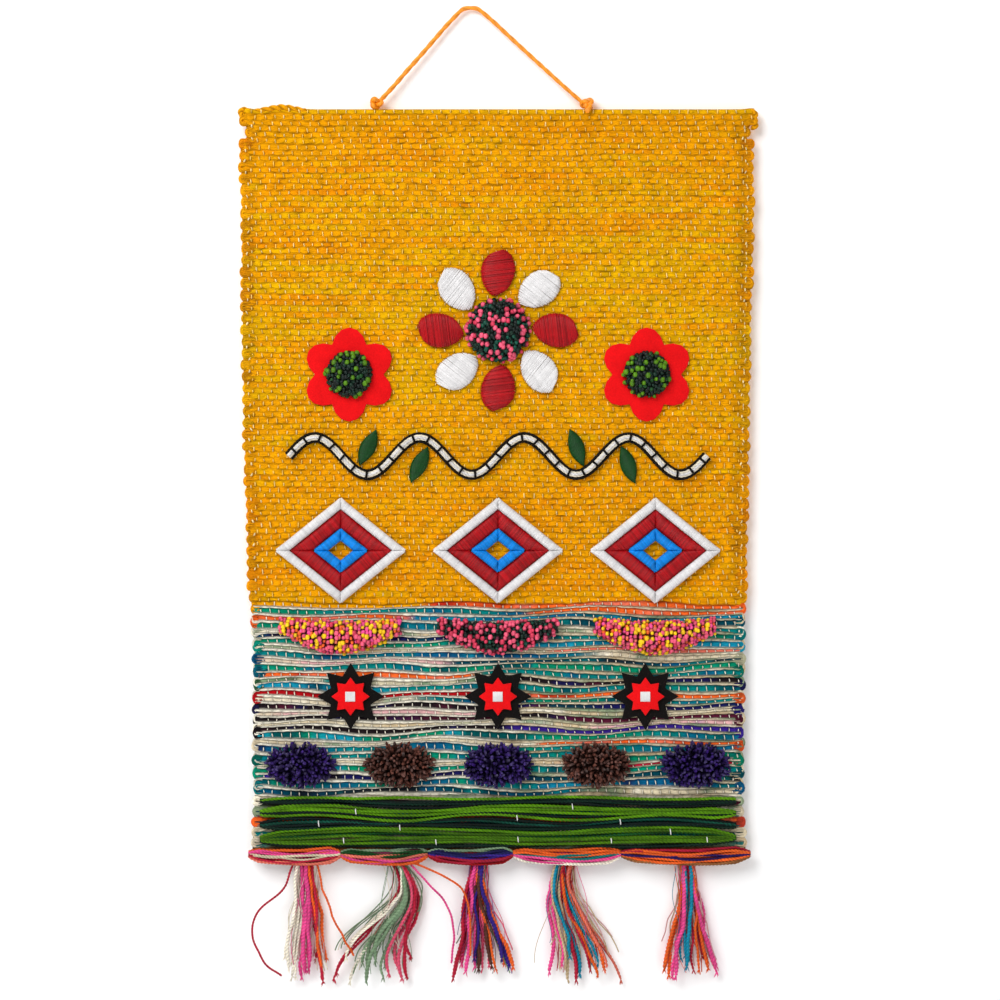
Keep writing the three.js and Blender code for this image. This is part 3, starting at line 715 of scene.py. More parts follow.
def rise_at(across, down):
    """What is left of the heading's rise at a place below the top line."""
    return heading_rise(across) * max(0.0, 1 - down / 10)


def drift(across, down):
    """How far a weft row strays up or down at a place."""
    slow = 0.55 * np.sin(across / 29 + down / 37) + 0.45 * np.sin(across / 13.0 - down / 19)
    striped = np.clip((down - STRIPES_FROM) / 20, 0, 1)
    return slow * (0.5 + 0.7 * striped)


def weft_rows():
    """The rows of weft, each with its top, height, kind and wefts."""
    rows = []
    count = round(STRIPES_FROM / FIELD_ROW)
    for i in range(count):
        rows.append({"height": STRIPES_FROM / count, "kind": "field", "wefts": ("mustard", "mustard", 0.5)})
    striped = []
    for stripe in STRIPES:
        wefts = (stripe["left"], stripe["right"], stripe["change"])
        pale = stripe["left"] in ("cream", "pale_pink")
        height = stripe["height"] * (PALE_ROW_SHARE if pale else 1.0)
        striped.append({"height": height, "kind": "stripe", "wefts": wefts})
        striped.append({"height": THIN_ROW, "kind": "thin", "wefts": ("ivory", "cream", 0.5)})
    fit = (BORDER_FROM - STRIPES_FROM) / sum(row["height"] for row in striped)
    for row in striped:
        row["height"] *= fit
    rows += striped
    left_over = (CLOTH_LENGTH - BORDER_FROM) / len(BEHIND_BORDER)
    for weft in BEHIND_BORDER:
        rows.append({"height": left_over, "kind": "behind", "wefts": (weft, weft, 0.5)})
    top = 0.0
    passes = 0
    for i, row in enumerate(rows):
        row["top"] = top
        row["index"] = i
        row["shed"] = 0.5 * (passes % 2)
        passes += row["kind"] != "thin"
        top += row["height"]
    return rows


ROWS = weft_rows()


def golden_dye(rng, row, count):
    """Golden weft with warm and light places along it, darker toward the top."""
    down = row["top"] / STRIPES_FROM
    warm = slow_noise(rng, count, 9) + 0.5 * rng.uniform(-1, 1, count)
    warm = np.clip(warm - 0.2 + 0.2 * math.sin(down * 9), 0, 1)[:, None]
    light = slow_noise(rng, count, 14) + 0.4 * rng.uniform(-1, 1, count)
    light = np.clip(light + 0.5 * math.sin(down * 7 - 1.2), 0, 1)[:, None]
    base = blended(DYES["mustard"], DYES["orange_mustard"], warm)
    base = blended(base, DYES["lemon"], 0.6 * light)
    base = blended(base, DYES["ochre"], 0.4 * max(0.0, 1 - row["top"] / 22))
    return blended(base, DYES["lemon"], 0.5) if row["index"] == 0 else base


def spun(rng, weft, count):
    """A weft's dye along a row, as it turns into the other colours it was spun from."""
    base = np.ones((count, 1)) * DYES[weft]
    for other in VARIEGATED.get(weft, []):
        share = np.clip(2.2 * slow_noise(rng, count, 6) - 0.7, 0, 0.85)[:, None]
        base = blended(base, DYES[other], share)
    return base


def weft_dye(row, shares):
    """The dye along a row of weft, at shares of the cloth's width."""
    rng = np.random.default_rng(1000 + row["index"])
    count = len(shares)
    if row["kind"] == "field":
        base = golden_dye(rng, row, count)
    else:
        left, right, change = row["wefts"]
        past = (shares - change - 0.03 * slow_noise(rng, count, 5)) * 25
        base = blended(spun(rng, left, count), spun(rng, right, count), np.clip(past + 0.5, 0, 1)[:, None])
    return base * (1 + 0.16 * rng.uniform(-1, 1, (count, 1)))


EDGE_SHARES = np.linspace(0, 1, 2 * WARP_PAIRS + 1)


def row_edges():
    """Where each row begins, across the cloth: rows pack unevenly as they are beaten down."""
    rng = np.random.default_rng(5)
    count = len(EDGE_SHARES)
    across = (2 * EDGE_SHARES - 1) * SHEET_HALF_WIDTH
    edges = []
    for row in ROWS:
        down = row["top"]
        jog = 0.55 * slow_noise(rng, count, 7) + 0.38 * rng.uniform(-1, 1, count)
        swell = 1.28 * np.sin(across / 21 + down / 5.0) * (row["kind"] in ("stripe", "thin"))
        loose = min(row["height"], 3.0) / 3.0
        edges.append(down + (drift(across, down) + swell + jog * loose) * min(1.0, down / 12))
    edges.append(np.full(count, CLOTH_LENGTH))
    return np.maximum.accumulate(np.array(edges), axis=0)


ROW_EDGES = row_edges()


def down_in_row(row, within, shares):
    """How far down the cloth a part of a row lies, at shares of the width."""
    upper = np.interp(shares, EDGE_SHARES, ROW_EDGES[row["index"]])
    lower = np.interp(shares, EDGE_SHARES, ROW_EDGES[row["index"] + 1])
    return upper + (lower - upper) * within


def edge_groove(inside, side):
    """The shade of the sunk line along a selvedge, at distances inside its edge."""
    deep = {"left": 0.15, "right": 0.35}[side]
    return 1 - deep * hump(inside, 9.4, 1.9)


# How far out the two faces of the sheet lie, from its rounded top down past the folded heading
FRONT_FACE = [
    {"down": -0.5, "out": 5.0},
    {"down": 0.6, "out": 6.4},
    {"down": 1.8, "out": 7.3},
    {"down": 4.0, "out": 7.9},
    {"down": 14.5, "out": 7.9},
    {"down": 17.5, "out": SHEET_FRONT},
]
BACK_FACE = [
    {"down": -0.5, "out": 2.8},
    {"down": 0.6, "out": 1.2},
    {"down": 1.8, "out": 0.5},
    {"down": 3.5, "out": 0.1},
    {"down": 14.0, "out": 0.1},
    {"down": 17.5, "out": SHEET_BACK},
]


def face_out(face, down):
    return np.interp(down, [place["down"] for place in face], [place["out"] for place in face])


# The lines of points in a row of weft: how far down the row each lies, and its share of the rib's height
RIBBED = [
    {"within": 0.0, "crest": 0.0},
    {"within": 0.3, "crest": 1.0},
    {"within": 0.7, "crest": 1.0},
]
PLAIN_RIB = [
    {"within": 0.0, "crest": 0.0},
    {"within": 0.5, "crest": 1.0},
]
RIM_SHARES = np.array([0, 0.003, 0.006])


def sunk_in(row, crest, close, plump, pressed):
    """How deep the points of a line lie under the face of the sheet."""
    press = 0.24 if row["kind"] == "field" else 0.4
    rib = blended(close, press * (1 + pressed) + plump, crest)
    return rib * 0.5 + 0.2 if row["kind"] == "thin" else rib


def woven_face(side, shares, first):
    """One face of the cloth, a grid with a rib for each row of weft, its points numbered from the first."""
    facing = {"front": 1, "back": -1}[side]
    rim = np.interp(np.minimum(shares, 1 - shares), [*RIM_SHARES, 0.0092], [0.05, 0.6, 0.85, 1.0])
    columns = len(shares)
    lines = []
    for row in ROWS:
        ribbed = side == "front" and row["kind"] in ("field", "stripe")
        lines += [(row, line["within"], line["crest"]) for line in (RIBBED if ribbed else PLAIN_RIB)]
    lines.append((ROWS[-1], 1.0, 0.0))
    places, dyes, uvs = [], [], []
    uneven_rows = np.random.default_rng(12)
    for row, within, crest in lines:
        down = row["top"] + within * row["height"]
        left, right = inner_edges(down)
        across = left + shares * (right - left)
        along = shares * WARP_PAIRS - row["shed"]
        pressed = np.cos(2 * np.pi * along) * (side == "front")
        plump = 0.5 * uneven_rows.uniform(0, 1, columns)
        close = 0.35 + 0.7 * uneven_rows.uniform(0, 1, columns) ** 2.5
        close = np.maximum(close, 0.95 * (row["kind"] != "field"))
        front, back = face_out(FRONT_FACE, down), face_out(BACK_FACE, down)
        reach = (front - back) / 2 - sunk_in(row, crest, close, plump, pressed)
        out = (front + back) / 2 + facing * reach * rim
        places.append(on_cloth(across, down_in_row(row, within, shares) - rise_at(across, down), out))
        # Painted shade: darker in the seams between rows where they lie close, and in the field the painted
        # shade of the sunk line beside each selvedge.
        shade = blended(0.95 - 0.5 * np.clip((close - 0.6) / 0.35, 0, 1), 1, crest)
        if row["kind"] == "field":
            shade = shade * edge_groove(across - left + EDGE_INSET, "left")
            shade = shade * edge_groove(right - across + EDGE_INSET, "right")
        dyes.append(weft_dye(row, shares) * shade[:, None])
        uvs.append(np.stack([along, np.full(columns, row["index"] + within)], axis=1))
    levels = np.array([row["index"] + within for row, within, crest in lines])
    numbers = first + np.arange(len(lines) * columns).reshape(len(lines), columns)
    quads = np.stack([numbers[:-1, :-1], numbers[:-1, 1:], numbers[1:, 1:], numbers[1:, :-1]], axis=2)
    deep = levels[-1]
    return {
        "places": np.array(places).reshape(-1, 3),
        "dyes": np.array(dyes).reshape(-1, 3),
        "uvs": np.array(uvs).reshape(-1, 2),
        "quads": quads.reshape(-1, 4)[:, ::facing],
        "rim": np.concatenate([numbers[:, 0], numbers[-1, 1:], numbers[-2::-1, -1], numbers[0, -2::-1]]),
        "rim_at": np.concatenate([
            levels, deep + shares[1:], 2 * deep + 1 - levels[-2::-1], 2 * deep + 2 - shares[-2::-1]
        ]),
    }


def laced(front, back):
    """Triangles that close the cloth's edge, from the rims of its two faces."""
    triangles = []
    i = j = 0
    while i < len(front["rim"]) - 1 or j < len(back["rim"]) - 1:
        here, there = front["rim"][i], back["rim"][j]
        front_left = i < len(front["rim"]) - 1
        back_left = j < len(back["rim"]) - 1
        if front_left and (not back_left or front["rim_at"][i + 1] <= back["rim_at"][j + 1]):
            i += 1
            triangles.append((here, front["rim"][i], there))
        else:
            j += 1
            triangles.append((here, back["rim"][j], there))
    return np.array(triangles)


def woven_ground():
    """A closed sheet with a rib for each row of weft, its front pressed in where a warp end passes."""
    inner = EDGE_SHARES[1:-1]
    shares = np.concatenate([RIM_SHARES, inner, 1 - RIM_SHARES[::-1]])
    back_shares = np.concatenate([RIM_SHARES, inner[::2], 1 - RIM_SHARES[::-1]])
    front = woven_face("front", shares, 0)
    back = woven_face("back", back_shares, len(front["places"]))
    uvs = np.concatenate([front["uvs"], back["uvs"]])
    quads = np.concatenate([front["quads"], back["quads"]])
    edge = laced(front, back)
    return facing_out({
        "places": np.concatenate([front["places"], back["places"]]),
        "quads": quads,
        "quad_uvs": uvs[quads],
        "fans": edge,
        "fan_uvs": uvs[edge],
        "dyes": np.concatenate([front["dyes"], back["dyes"]]),
    })


ground = make_piece("woven_ground", [woven_ground()], WEAVE, ["ground_cloth"])

# Stations of a short thread: its share of the reach, and how far out it lies over a row or at a selvedge
SHORT_THREAD = [
    {"share": -1, "over_row": -0.9, "at_selvedge": 0.0},
    {"share": -0.45, "over_row": 0.3, "at_selvedge": 1.0},
    {"share": 0.45, "over_row": 0.3, "at_selvedge": 1.0},
    {"share": 1, "over_row": -0.9, "at_selvedge": 0.0},
]


def ends_over_row(rng, row):
    """The warp ends that pass over one row, as routes, radii and dyes."""
    shares = (np.arange(1, WARP_PAIRS) + row["shed"]) / WARP_PAIRS
    count = len(shares)
    middle = row["top"] + row["height"] / 2
    left, right = inner_edges(middle)
    across = left + shares * (right - left) + rng.uniform(-0.45, 0.45, count)
    tilt = rng.uniform(-0.15, 0.5, count)
    reach = rng.uniform(0.30, 0.54, count)
    sunk = rng.uniform(0, 1, count) ** 2 * 0.8 * (row["kind"] == "field")
    rise = rise_at(across, middle)
    stations = []
    for station in SHORT_THREAD:
        down = down_in_row(row, 0.5 + station["share"] * reach, shares) - rise
        out = face_out(FRONT_FACE, middle) + station["over_row"] - sunk
        stations.append(on_cloth(across + station["share"] * tilt, down, out))
    fat, usual, palest = 0.52, "warp_yellow", "warp_white"
    if row["kind"] == "stripe":
        fat, usual, palest = 0.42, "warp_pale", "warp_pale"
    radii = fat * rng.uniform(0.8, 1.25, (count, 1)) * np.ones(4)
    mixed = blended(DYES[usual], DYES[palest], rng.uniform(0, 0.9, (count, 1, 1)) ** 2)
    dyes = mixed * rng.uniform(0.75, 1.1, (count, 1, 1)) * np.ones((1, 4, 1))
    return np.stack(stations, axis=1), radii, dyes


def selvedge_notches(rng, side, sign):
    """Short pale threads that show beside a selvedge, as routes, radii and dyes."""
    tops = np.array([row["top"] for row in ROWS if row["kind"] == "field"][3::2])
    count = len(tops)
    across = sign * (edge_at(tops, side) - rng.uniform(4.4, 6.4, count))
    middle = tops + rng.uniform(-0.7, 0.7, count)
    lean = rng.uniform(-0.9, 0.9, count)
    stations = []
    for station in SHORT_THREAD:
        down = middle + station["share"] * 1.3
        out = face_out(FRONT_FACE, tops) + station["at_selvedge"]
        stations.append(on_cloth(across + station["share"] * lean, down, out))
    radii = 0.62 * rng.uniform(0.7, 1.2, (count, 1)) * np.ones(4)
    dyes = DYES["warp_white"] * rng.uniform(0.7, 1.1, (count, 1, 1)) * np.ones((1, 4, 1))
    return np.stack(stations, axis=1), radii, dyes


def warp_ends():
    """All the short threads of warp that show on the front."""
    rng = np.random.default_rng(7)
    crossed = [row for row in ROWS if row["kind"] in ("field", "stripe") and row["height"] >= 1.5]
    threads = [ends_over_row(rng, row) for row in crossed]
    threads += [selvedge_notches(rng, side, sign) for side, sign in SIDES]
    routes, radii, dyes = (np.concatenate(values) for values in zip(*threads))
    return tubes(routes, radii, dyes, sides=3, flat=0.7, pointed=True)


warp = make_piece("warp_ends", [warp_ends()], WARP)

# Where the weft turns back at each edge: which rows the turns take in pairs, and how thick, how long and of
# how many strands each turn is
SELVEDGE_TURNS = [
    {"kinds": ["field"], "first": 1, "fat": 1.0, "inward": 10.0, "strands": 6},
    {"kinds": ["stripe", "behind"], "first": 0, "fat": 1.0, "inward": 7.5, "strands": 3},
    {"kinds": ["thin"], "first": 1, "fat": 0.95, "inward": 6.0, "strands": 1},
]
TURN_STATIONS = np.arange(13)
TURN_QUARTERS = [0, 3, 6, 9, 12]


def selvedge_turn(rng, sort, upper, lower, side, sign):
    """The strands of one turn, from one row of weft round to the next, as (route, radii, dyes)."""
    top = upper["top"] + upper["height"] * 0.5
    bottom = lower["top"] + lower["height"] * 0.5
    middle = (top + bottom) / 2
    proud = rng.uniform(-0.9, 0.7)
    long = sort["inward"] * rng.uniform(0.7, 1.35)
    row_dye = weft_dye(upper, np.array([0.0 if side == "left" else 1.0]))[0]
    turn = np.linspace(-np.pi / 2, np.pi / 2, 7)
    strands = []
    for strand in range(sort["strands"]):
        wide = (strand + 1) / sort["strands"]
        half = max(0.5, ((bottom - top) / 2 + 1.2) * wide * rng.uniform(0.85, 1.1))
        edge = edge_at(middle, side) - sort["fat"] * 0.7 + proud - 1.3 * (1 - wide)
        bulge = min(2.0, half * rng.uniform(0.9, 1.3))
        inner = edge - bulge - long * np.array([1.0, 0.7, 0.4])
        x = np.concatenate([inner, edge - bulge + bulge * np.cos(turn), inner[::-1]])
        near = half * np.array([0.45, 0.7, 0.95])
        down = np.concatenate([-near, half * np.sin(turn), near[::-1]]) + middle
        down = down + rng.uniform(-0.2, 0.2, len(TURN_STATIONS))
        depths = SHEET_FRONT - np.array([1.6, 0.5, 1.7])
        out = np.interp(x, [edge - long, edge - 3, edge], depths) + 0.5 * rng.uniform(-1, 1)
        radii = sort["fat"] * np.interp(TURN_STATIONS, TURN_QUARTERS, [0.25, 0.85, 1.1, 0.85, 0.25])
        # Painted shade where a strand dives in at its ends and painted light on its outer turn; in the field
        # also the painted shade of the sunk line beside the selvedge.
        shadow = np.interp(TURN_STATIONS, TURN_QUARTERS, [0.85, 1.0, 1.15, 1.0, 0.65])
        if upper["kind"] == "field":
            shadow = shadow * edge_groove(edge_at(middle, side) - x, side)
        dyes = shadow[:, None] * row_dye * rng.uniform(0.8, 1.25)
        strands.append((on_cloth(sign * x, down, out), radii, dyes))
    return strands


def selvedge_turns():
    """All the turns, on both sides."""
    rng = np.random.default_rng(21)
    strands = []
    for sort in SELVEDGE_TURNS:
        rows = [row for row in ROWS if row["kind"] in sort["kinds"]][sort["first"]:]
        for upper, lower in zip(rows[0::2], rows[1::2]):
            for side, sign in SIDES:
                strands += selvedge_turn(rng, sort, upper, lower, side, sign)
    routes, radii, dyes = zip(*strands)
    return tubes(routes, radii, dyes, sides=5, plies=2, twist=11.0, groove=0.26, flat=0.85, pointed=True)


selvedges = make_piece("selvedge_turns", [selvedge_turns()], SELVEDGE)

HEADING_KNOBS = [
    {"across": -178.5, "down": 2.5, "reach": 4.6},
    {"across": 178.5, "down": 4.0, "reach": 4.4},
    {"across": 179.0, "down": 11.0, "reach": 3.6},
]


def heading_twist():
    """The twisted yarn of the turned corner, and the knobs at the ends of the heading."""
    t = np.linspace(0, 1, 60)
    across = -170 + 36 * t
    twist = on_cloth(across, 1.0 - heading_rise(across) * 0.95, 6.0)
    swell = 2.5 * np.sin(np.pi * np.clip(t * 0.94 + 0.03, 0, 1)) ** 0.35
    stations = 90
    radii = np.interp(np.linspace(0, 1, stations), t, swell)[None, :]
    look = dict(dyes=DYES["mustard"], sides=12, plies=2, groove=0.4)
    parts = [tubes([evenly(twist, stations)], radii, twist=12.0, **look)]
    turn = np.linspace(-2.2, 2.2, 20)
    for knob in HEADING_KNOBS:
        outward = math.copysign(knob["reach"], knob["across"])
        down = knob["down"] + knob["reach"] * 0.55 * np.sin(turn)
        route = on_cloth(knob["across"] + outward * 0.4 * np.cos(turn), down, 5.2)
        parts.append(tubes([route], 2.1, twist=8.0, flat=0.9, **look))
    return parts


heading = make_piece("heading_twist", heading_twist(), SELVEDGE)


# Green border: twisted cords laid side by side between wavy seams, held by white ties

BORDER_SEAMS = [
    {"down": 481.0, "wave": 0.6, "length": 150, "shift": 0.0},
    {"down": 488.0, "wave": 1.8, "length": 168, "shift": 0.6},
    {"down": 496.6, "wave": 2.0, "length": 124, "shift": 2.1},
    {"down": 503.6, "wave": 1.8, "length": 186, "shift": 3.9},
    {"down": 515.8, "wave": 0.4, "length": 140, "shift": 1.0},
]
BORDER_CORDS = [
    {"slot": "dark_green_yarn", "dyes": ["lime", "night_green", "dark_green", "night_green"]},
    {"slot": "green_yarn", "dyes": ["lime", "lime", "lime", "night_green", "lime"]},
    {"slot": "dark_green_yarn", "dyes": ["night_green", "pine", "night_green", "dark_green"]},
    {"slot": "green_yarn", "dyes": ["lime", "lime", "leaf_green", "lime", "lime", "lime", "dark_green"]},
]
BORDER_HALF_LENGTH = 166
BORDER_STATIONS = 480


def seam_down(seam, across):
    return seam["down"] - seam["wave"] * np.sin(2 * np.pi * across / seam["length"] + seam["shift"])


def border_bundle(i, bundle):
    """A bundle of twisted cords that swells and narrows between its two seams."""
    rng = np.random.default_rng(40 + i)
    across = np.linspace(-BORDER_HALF_LENGTH, BORDER_HALF_LENGTH, BORDER_STATIONS)
    upper = seam_down(BORDER_SEAMS[i], across)
    lower = seam_down(BORDER_SEAMS[i + 1], across)
    close = np.clip((BORDER_HALF_LENGTH - np.abs(across)) / 16, 0, 1) ** 0.6
    routes, radii, dyes = [], [], []
    for j, colour in enumerate(bundle["dyes"]):
        share = (j + 0.5) / len(bundle["dyes"])
        middle = upper + (lower - upper) * (0.5 + (share - 0.5) * (0.25 + 0.75 * close))
        wander = slow_noise(rng, BORDER_STATIONS, 50)
        # Cords other than lime lie low and fat; among the lime cords the near-black ones are partly dark
        # cords and partly painted shade in the gaps between them.
        lift, fat = (1.15, 1.22) if colour == "lime" else (0.1, 1.4)
        lift = lift + 0.6 * slow_noise(rng, BORDER_STATIONS, 36)
        routes.append(on_cloth(across, middle + wander, SEWN_ON + 1.5 + lift * close))
        radii.append(fat * varied(rng, BORDER_STATIONS, 0.1, 15))
        tone = DYES[colour] * rng.uniform(0.6, 1.35)
        dyes.append(tone * varied(rng, BORDER_STATIONS, 0.35, 17)[:, None])
    part = tubes(routes, radii, dyes, plies=2, twist=5.8, groove=0.42)
    nodes = [f"border_bundle_{i + 1}"]
    return make_piece(f"border_cords_{i + 1}", [part], WOOL, nodes)


def stitches(starts, ends, height, radius, dyes, base=SEWN_ON, pad=4.0):
    """Threads laid over padding, each from one edge (across, down) to the other."""
    starts, ends = np.asarray(starts, float), np.asarray(ends, float)
    shares = np.array([0.0, 0.05, 0.2, 0.5, 0.8, 0.95, 1.0])
    arch = (1 - np.abs(2 * shares - 1) ** pad) ** 0.5
    across = starts[:, :1] + (ends[:, :1] - starts[:, :1]) * shares
    down = starts[:, 1:] + (ends[:, 1:] - starts[:, 1:]) * shares
    height = np.broadcast_to(np.asarray(height, float).reshape(-1, 1), across.shape)
    out = base + (height - radius) * arch
    dyes = np.broadcast_to(np.asarray(dyes).reshape(-1, 1, 3), (len(starts), len(shares), 3))
    return tubes(on_cloth(across, down, out), radius, dyes, sides=5, pointed=True)


border = [border_bundle(i, bundle) for i, bundle in enumerate(BORDER_CORDS)]

TIES = [
    {"across": -125.3, "down": 499.8},
    {"across": -107.8, "down": 511.7},
    {"across": -99.4, "down": 491.4},
    {"across": -68.6, "down": 502.6},
    {"across": -43.4, "down": 512.4},
    {"across": 13.3, "down": 495.6},
    {"across": 14.0, "down": 511.0},
    {"across": 52.0, "down": 488.0},
    {"across": 79.1, "down": 511.7},
    {"across": 85.4, "down": 498.4},
    {"across": 120.4, "down": 505.4},
    {"across": 146.0, "down": 511.0},
]


def border_ties():
    """White threads that hold the border's cords down."""
    starts = [(tie["across"] - 0.2, tie["down"] - 2.1) for tie in TIES]
    ends = [(tie["across"] + 0.3, tie["down"] + 2.1) for tie in TIES]
    threads = stitches(starts, ends, 5.0, 0.42, DYES["white"])
    return make_piece("border_ties", [threads], WARP)


ties = border_ties()


# Edging: swags of yarns in several colours over the bottom edge

EDGING_JOINS = [-174.5, -110.0, -49.0, 10.5, 86.0, 176.5]
EDGING_DYES = [
    ["orange", "hot_pink", "cream", "crimson", "salmon"],
    ["sage", "leaf_green", "salmon", "hot_pink", "orange"],
    ["sage", "navy", "indigo", "crimson", "dark_red"],
    ["orange", "orange", "teal", "hot_pink", "ivory"],
    ["crimson", "orange", "purple", "orange", "jute_brown"],
]
EDGING_TOP = 516.7
EDGING_BOTTOM = 525.6


def edging_yarns(i, names):
    """One swag of the edging: two yarns of each dye over a flat filling, its dye halved as painted shade
    between the yarns.
    """
    rng = np.random.default_rng(60 + i)
    start, end = EDGING_JOINS[i] + 0.4, EDGING_JOINS[i + 1] - 0.4
    stations = round((end - start) / 0.6)
    t = np.linspace(0, 1, stations)
    across = start + (end - start) * t
    sag = np.sin(np.pi * t)
    gather = np.clip(np.minimum(t, 1 - t) * 9, 0, 1) ** 0.7
    upper = EDGING_TOP + sag
    lower = EDGING_BOTTOM + 4.0 * sag
    routes, dyes, radii = [], [], []
    count = len(names) * 2
    for j in range(count):
        share = (j + 0.5) / count
        middle = (upper + lower) / 2 + (lower - upper) * (share - 0.5) * (0.35 + 0.65 * gather)
        crossing = 0.9 * np.sin(t * (5 + 2 * (j % 3)) + j * 1.7)
        proud = 2.0 * math.sin(math.pi * share) * (0.5 + 0.5 * gather) + 0.9 * slow_noise(rng, stations, 27)
        routes.append(on_cloth(across, middle + crossing * gather, SEWN_ON + 1.5 + proud))
        radii.append(rng.uniform(0.85, 1.25) * varied(rng, stations, 0.12, 21))
        tone = DYES[names[j // 2]] * rng.uniform(0.75, 1.15)
        dyes.append(tone * varied(rng, stations, 0.15, 13)[:, None])
    core = on_cloth(across, (upper + lower) / 2, SEWN_ON + 0.6)
    core_radii = (lower - upper) * 0.44 * (0.3 + 0.7 * gather)
    # The filling takes the fourth dye at half strength: painted shade that shows between the yarns.
    filling = tubes([core], core_radii[None, :], DYES[names[3]] * 0.5, flat=0.3)
    part = tubes(routes, radii, dyes, plies=2, twist=5.0, groove=0.36)
    return make_piece(f"edging_yarns_{i + 1}", [filling, part], WOOL, [f"edging_{i + 1}"])


edging = [edging_yarns(i, names) for i, names in enumerate(EDGING_DYES)]


# Tassels: kinked two-ply strands from a root tied under the bottom edge

TASSELS = [
    {
        "at": -134.8, "root": 21.0, "left": -148, "right": -118, "sway": 1.0,
        "dyes": ["ivory", "ivory", "hot_pink", "hot_pink", "hot_pink", "crimson", "orange"],
        "fluff": ["ivory", "ivory", "pale_pink"],
    },
    {
        "at": -72.0, "root": 15.0, "left": -106, "right": -52, "sway": 10.0,
        "dyes": ["crimson", "ivory", "sage", "sage", "sage", "pink", "crimson"],
        "fluff": ["sage", "ivory", "sage"],
    },
    {
        "at": -13.0, "root": 15.0, "left": -33, "right": 10, "sway": -2.0,
        "dyes": ["crimson", "hot_pink", "indigo", "brown", "pink", "orange", "indigo"],
        "fluff": ["pink", "sage", "lilac"],
    },
    {
        "at": 47.3, "root": 18.0, "left": 33, "right": 82, "sway": -4.0,
        "dyes": ["hot_pink", "beige", "turquoise", "crimson", "turquoise", "orange", "salmon"],
        "fluff": ["beige", "pale_pink", "crimson"],
    },
    {
        "at": 130.9, "root": 18.0, "left": 115, "right": 156, "sway": 1.5,
        "dyes": ["orange", "hot_pink", "turquoise", "turquoise", "crimson", "orange", "hot_pink"],
        "fluff": ["pale_pink", "salmon", "beige"],
    },
]
# Strands that hang apart from their tassel
STRAYS = [
    {"tassel": 0, "dye": "crimson", "across": [-143, -151, -168, -171, -162, -151],
     "down": [529, 546, 562, 580, 598, 606]},
    {"tassel": 0, "dye": "orange", "across": [-127, -122, -113, -101], "down": [529, 546, 570, 592]},
    {"tassel": 1, "dye": "hot_pink", "across": [-62, -49, -36, -31, -33], "down": [528, 541, 556, 575, 597]},
    {"tassel": 1, "dye": "orange", "across": [-64, -45, -26, -19, -20], "down": [526, 533, 545, 566, 592]},
]
STRAY_ROOT_OUT = 6
STRAY_OUT = 10.8
TASSEL_TOP = 524
TASSEL_BOTTOM = 604
STRANDS = 16
STRAND_STATIONS = 125
FRAYS = 6
FINE_STRANDS = 22
FINE_STATIONS = 40
HAIRS = 5
# How far out the back, middle and front strands lie below the tie and at their ends
LAYERS = [
    {"tied": 3.2, "loose": 3.0},
    {"tied": 5.2, "loose": 5.4},
    {"tied": 7.4, "loose": 7.6},
]


def strand_across(tassel, start, share, spread, t):
    """The way of a strand across the cloth, from its root to its share of the tassel's width."""
    end = tassel["left"] + (tassel["right"] - tassel["left"]) * share
    return start + (end - start) * spread + tassel["sway"] * np.sin(np.pi * 1.6 * t)


def tassel_yarns(rng, tassel):
    """The kinked strands, and the frayed fibres at the end of each."""
    t = np.linspace(0, 1, STRAND_STATIONS)
    spread = np.clip((t - 0.12) / 0.88, 0, 1) ** 1.2
    routes, radii, dyes = [], [], []
    tips, tip_dyes = [], []
    for s in range(STRANDS):
        share = (s + 0.5) / STRANDS
        layer = LAYERS[s % 3]
        start = tassel["at"] + tassel["root"] * (0.6 * share + 0.4 * rng.uniform(0, 1) - 0.5) * 0.85
        end_share = np.clip(share + rng.uniform(-0.14, 0.14), 0, 1)
        bottom = TASSEL_BOTTOM + rng.uniform(-12, 7)
        kink = 0.9 * slow_noise(rng, STRAND_STATIONS, 13)
        kink = kink + rng.uniform(0.2, 1.0) * np.sin(t * rng.uniform(6, 16) + s)
        across = strand_across(tassel, start, end_share, spread, t) + kink * np.clip(t * 5, 0, 1)
        down = TASSEL_TOP + (bottom - TASSEL_TOP) * t
        out = np.interp(t, [0, 0.16, 1], [5.0, layer["tied"], layer["loose"]])
        out = out + 0.9 * slow_noise(rng, STRAND_STATIONS, 17)
        routes.append(on_cloth(across, down, out))
        radii.append(rng.uniform(0.95, 1.75) * np.interp(t, [0, 0.95, 1], [1, 1, 0.75]))
        tone = DYES[tassel["dyes"][int(share * len(tassel["dyes"]))]] * rng.uniform(0.9, 1.15)
        dyes.append(tone * varied(rng, STRAND_STATIONS, 0.12, 10)[:, None])
        end_at = np.array([across[-1], down[-1], out[-1]])
        for _ in range(FRAYS):
            away = rng.uniform([-2.0, 2.0, -0.8], [2.0, 5.0, 0.8])
            fray = end_at + np.linspace(-0.2, 1, 4)[:, None] * away
            fray[:, 2] = np.maximum(fray[:, 2], 1.0)
            tips.append(laid(fray))
            tip_dyes.append(np.ones((4, 1)) * tone)
    return [
        tubes(routes, radii, dyes, plies=2, twist=5.2, groove=0.36),
        tubes(tips, 0.42, tip_dyes, sides=3, pointed=True),
    ]


def stray_strand(rng, stray):
    count = len(stray["across"])
    out = [STRAY_ROOT_OUT] + [STRAY_OUT] * (count - 1)
    line = smooth_route(on_cloth(stray["across"], stray["down"], out), STRAND_STATIONS)
    line[:, 0] += 0.7 * slow_noise(rng, STRAND_STATIONS, 12)
    return tubes([line], 0.85, DYES[stray["dye"]], plies=2, twist=4.4, groove=0.36)


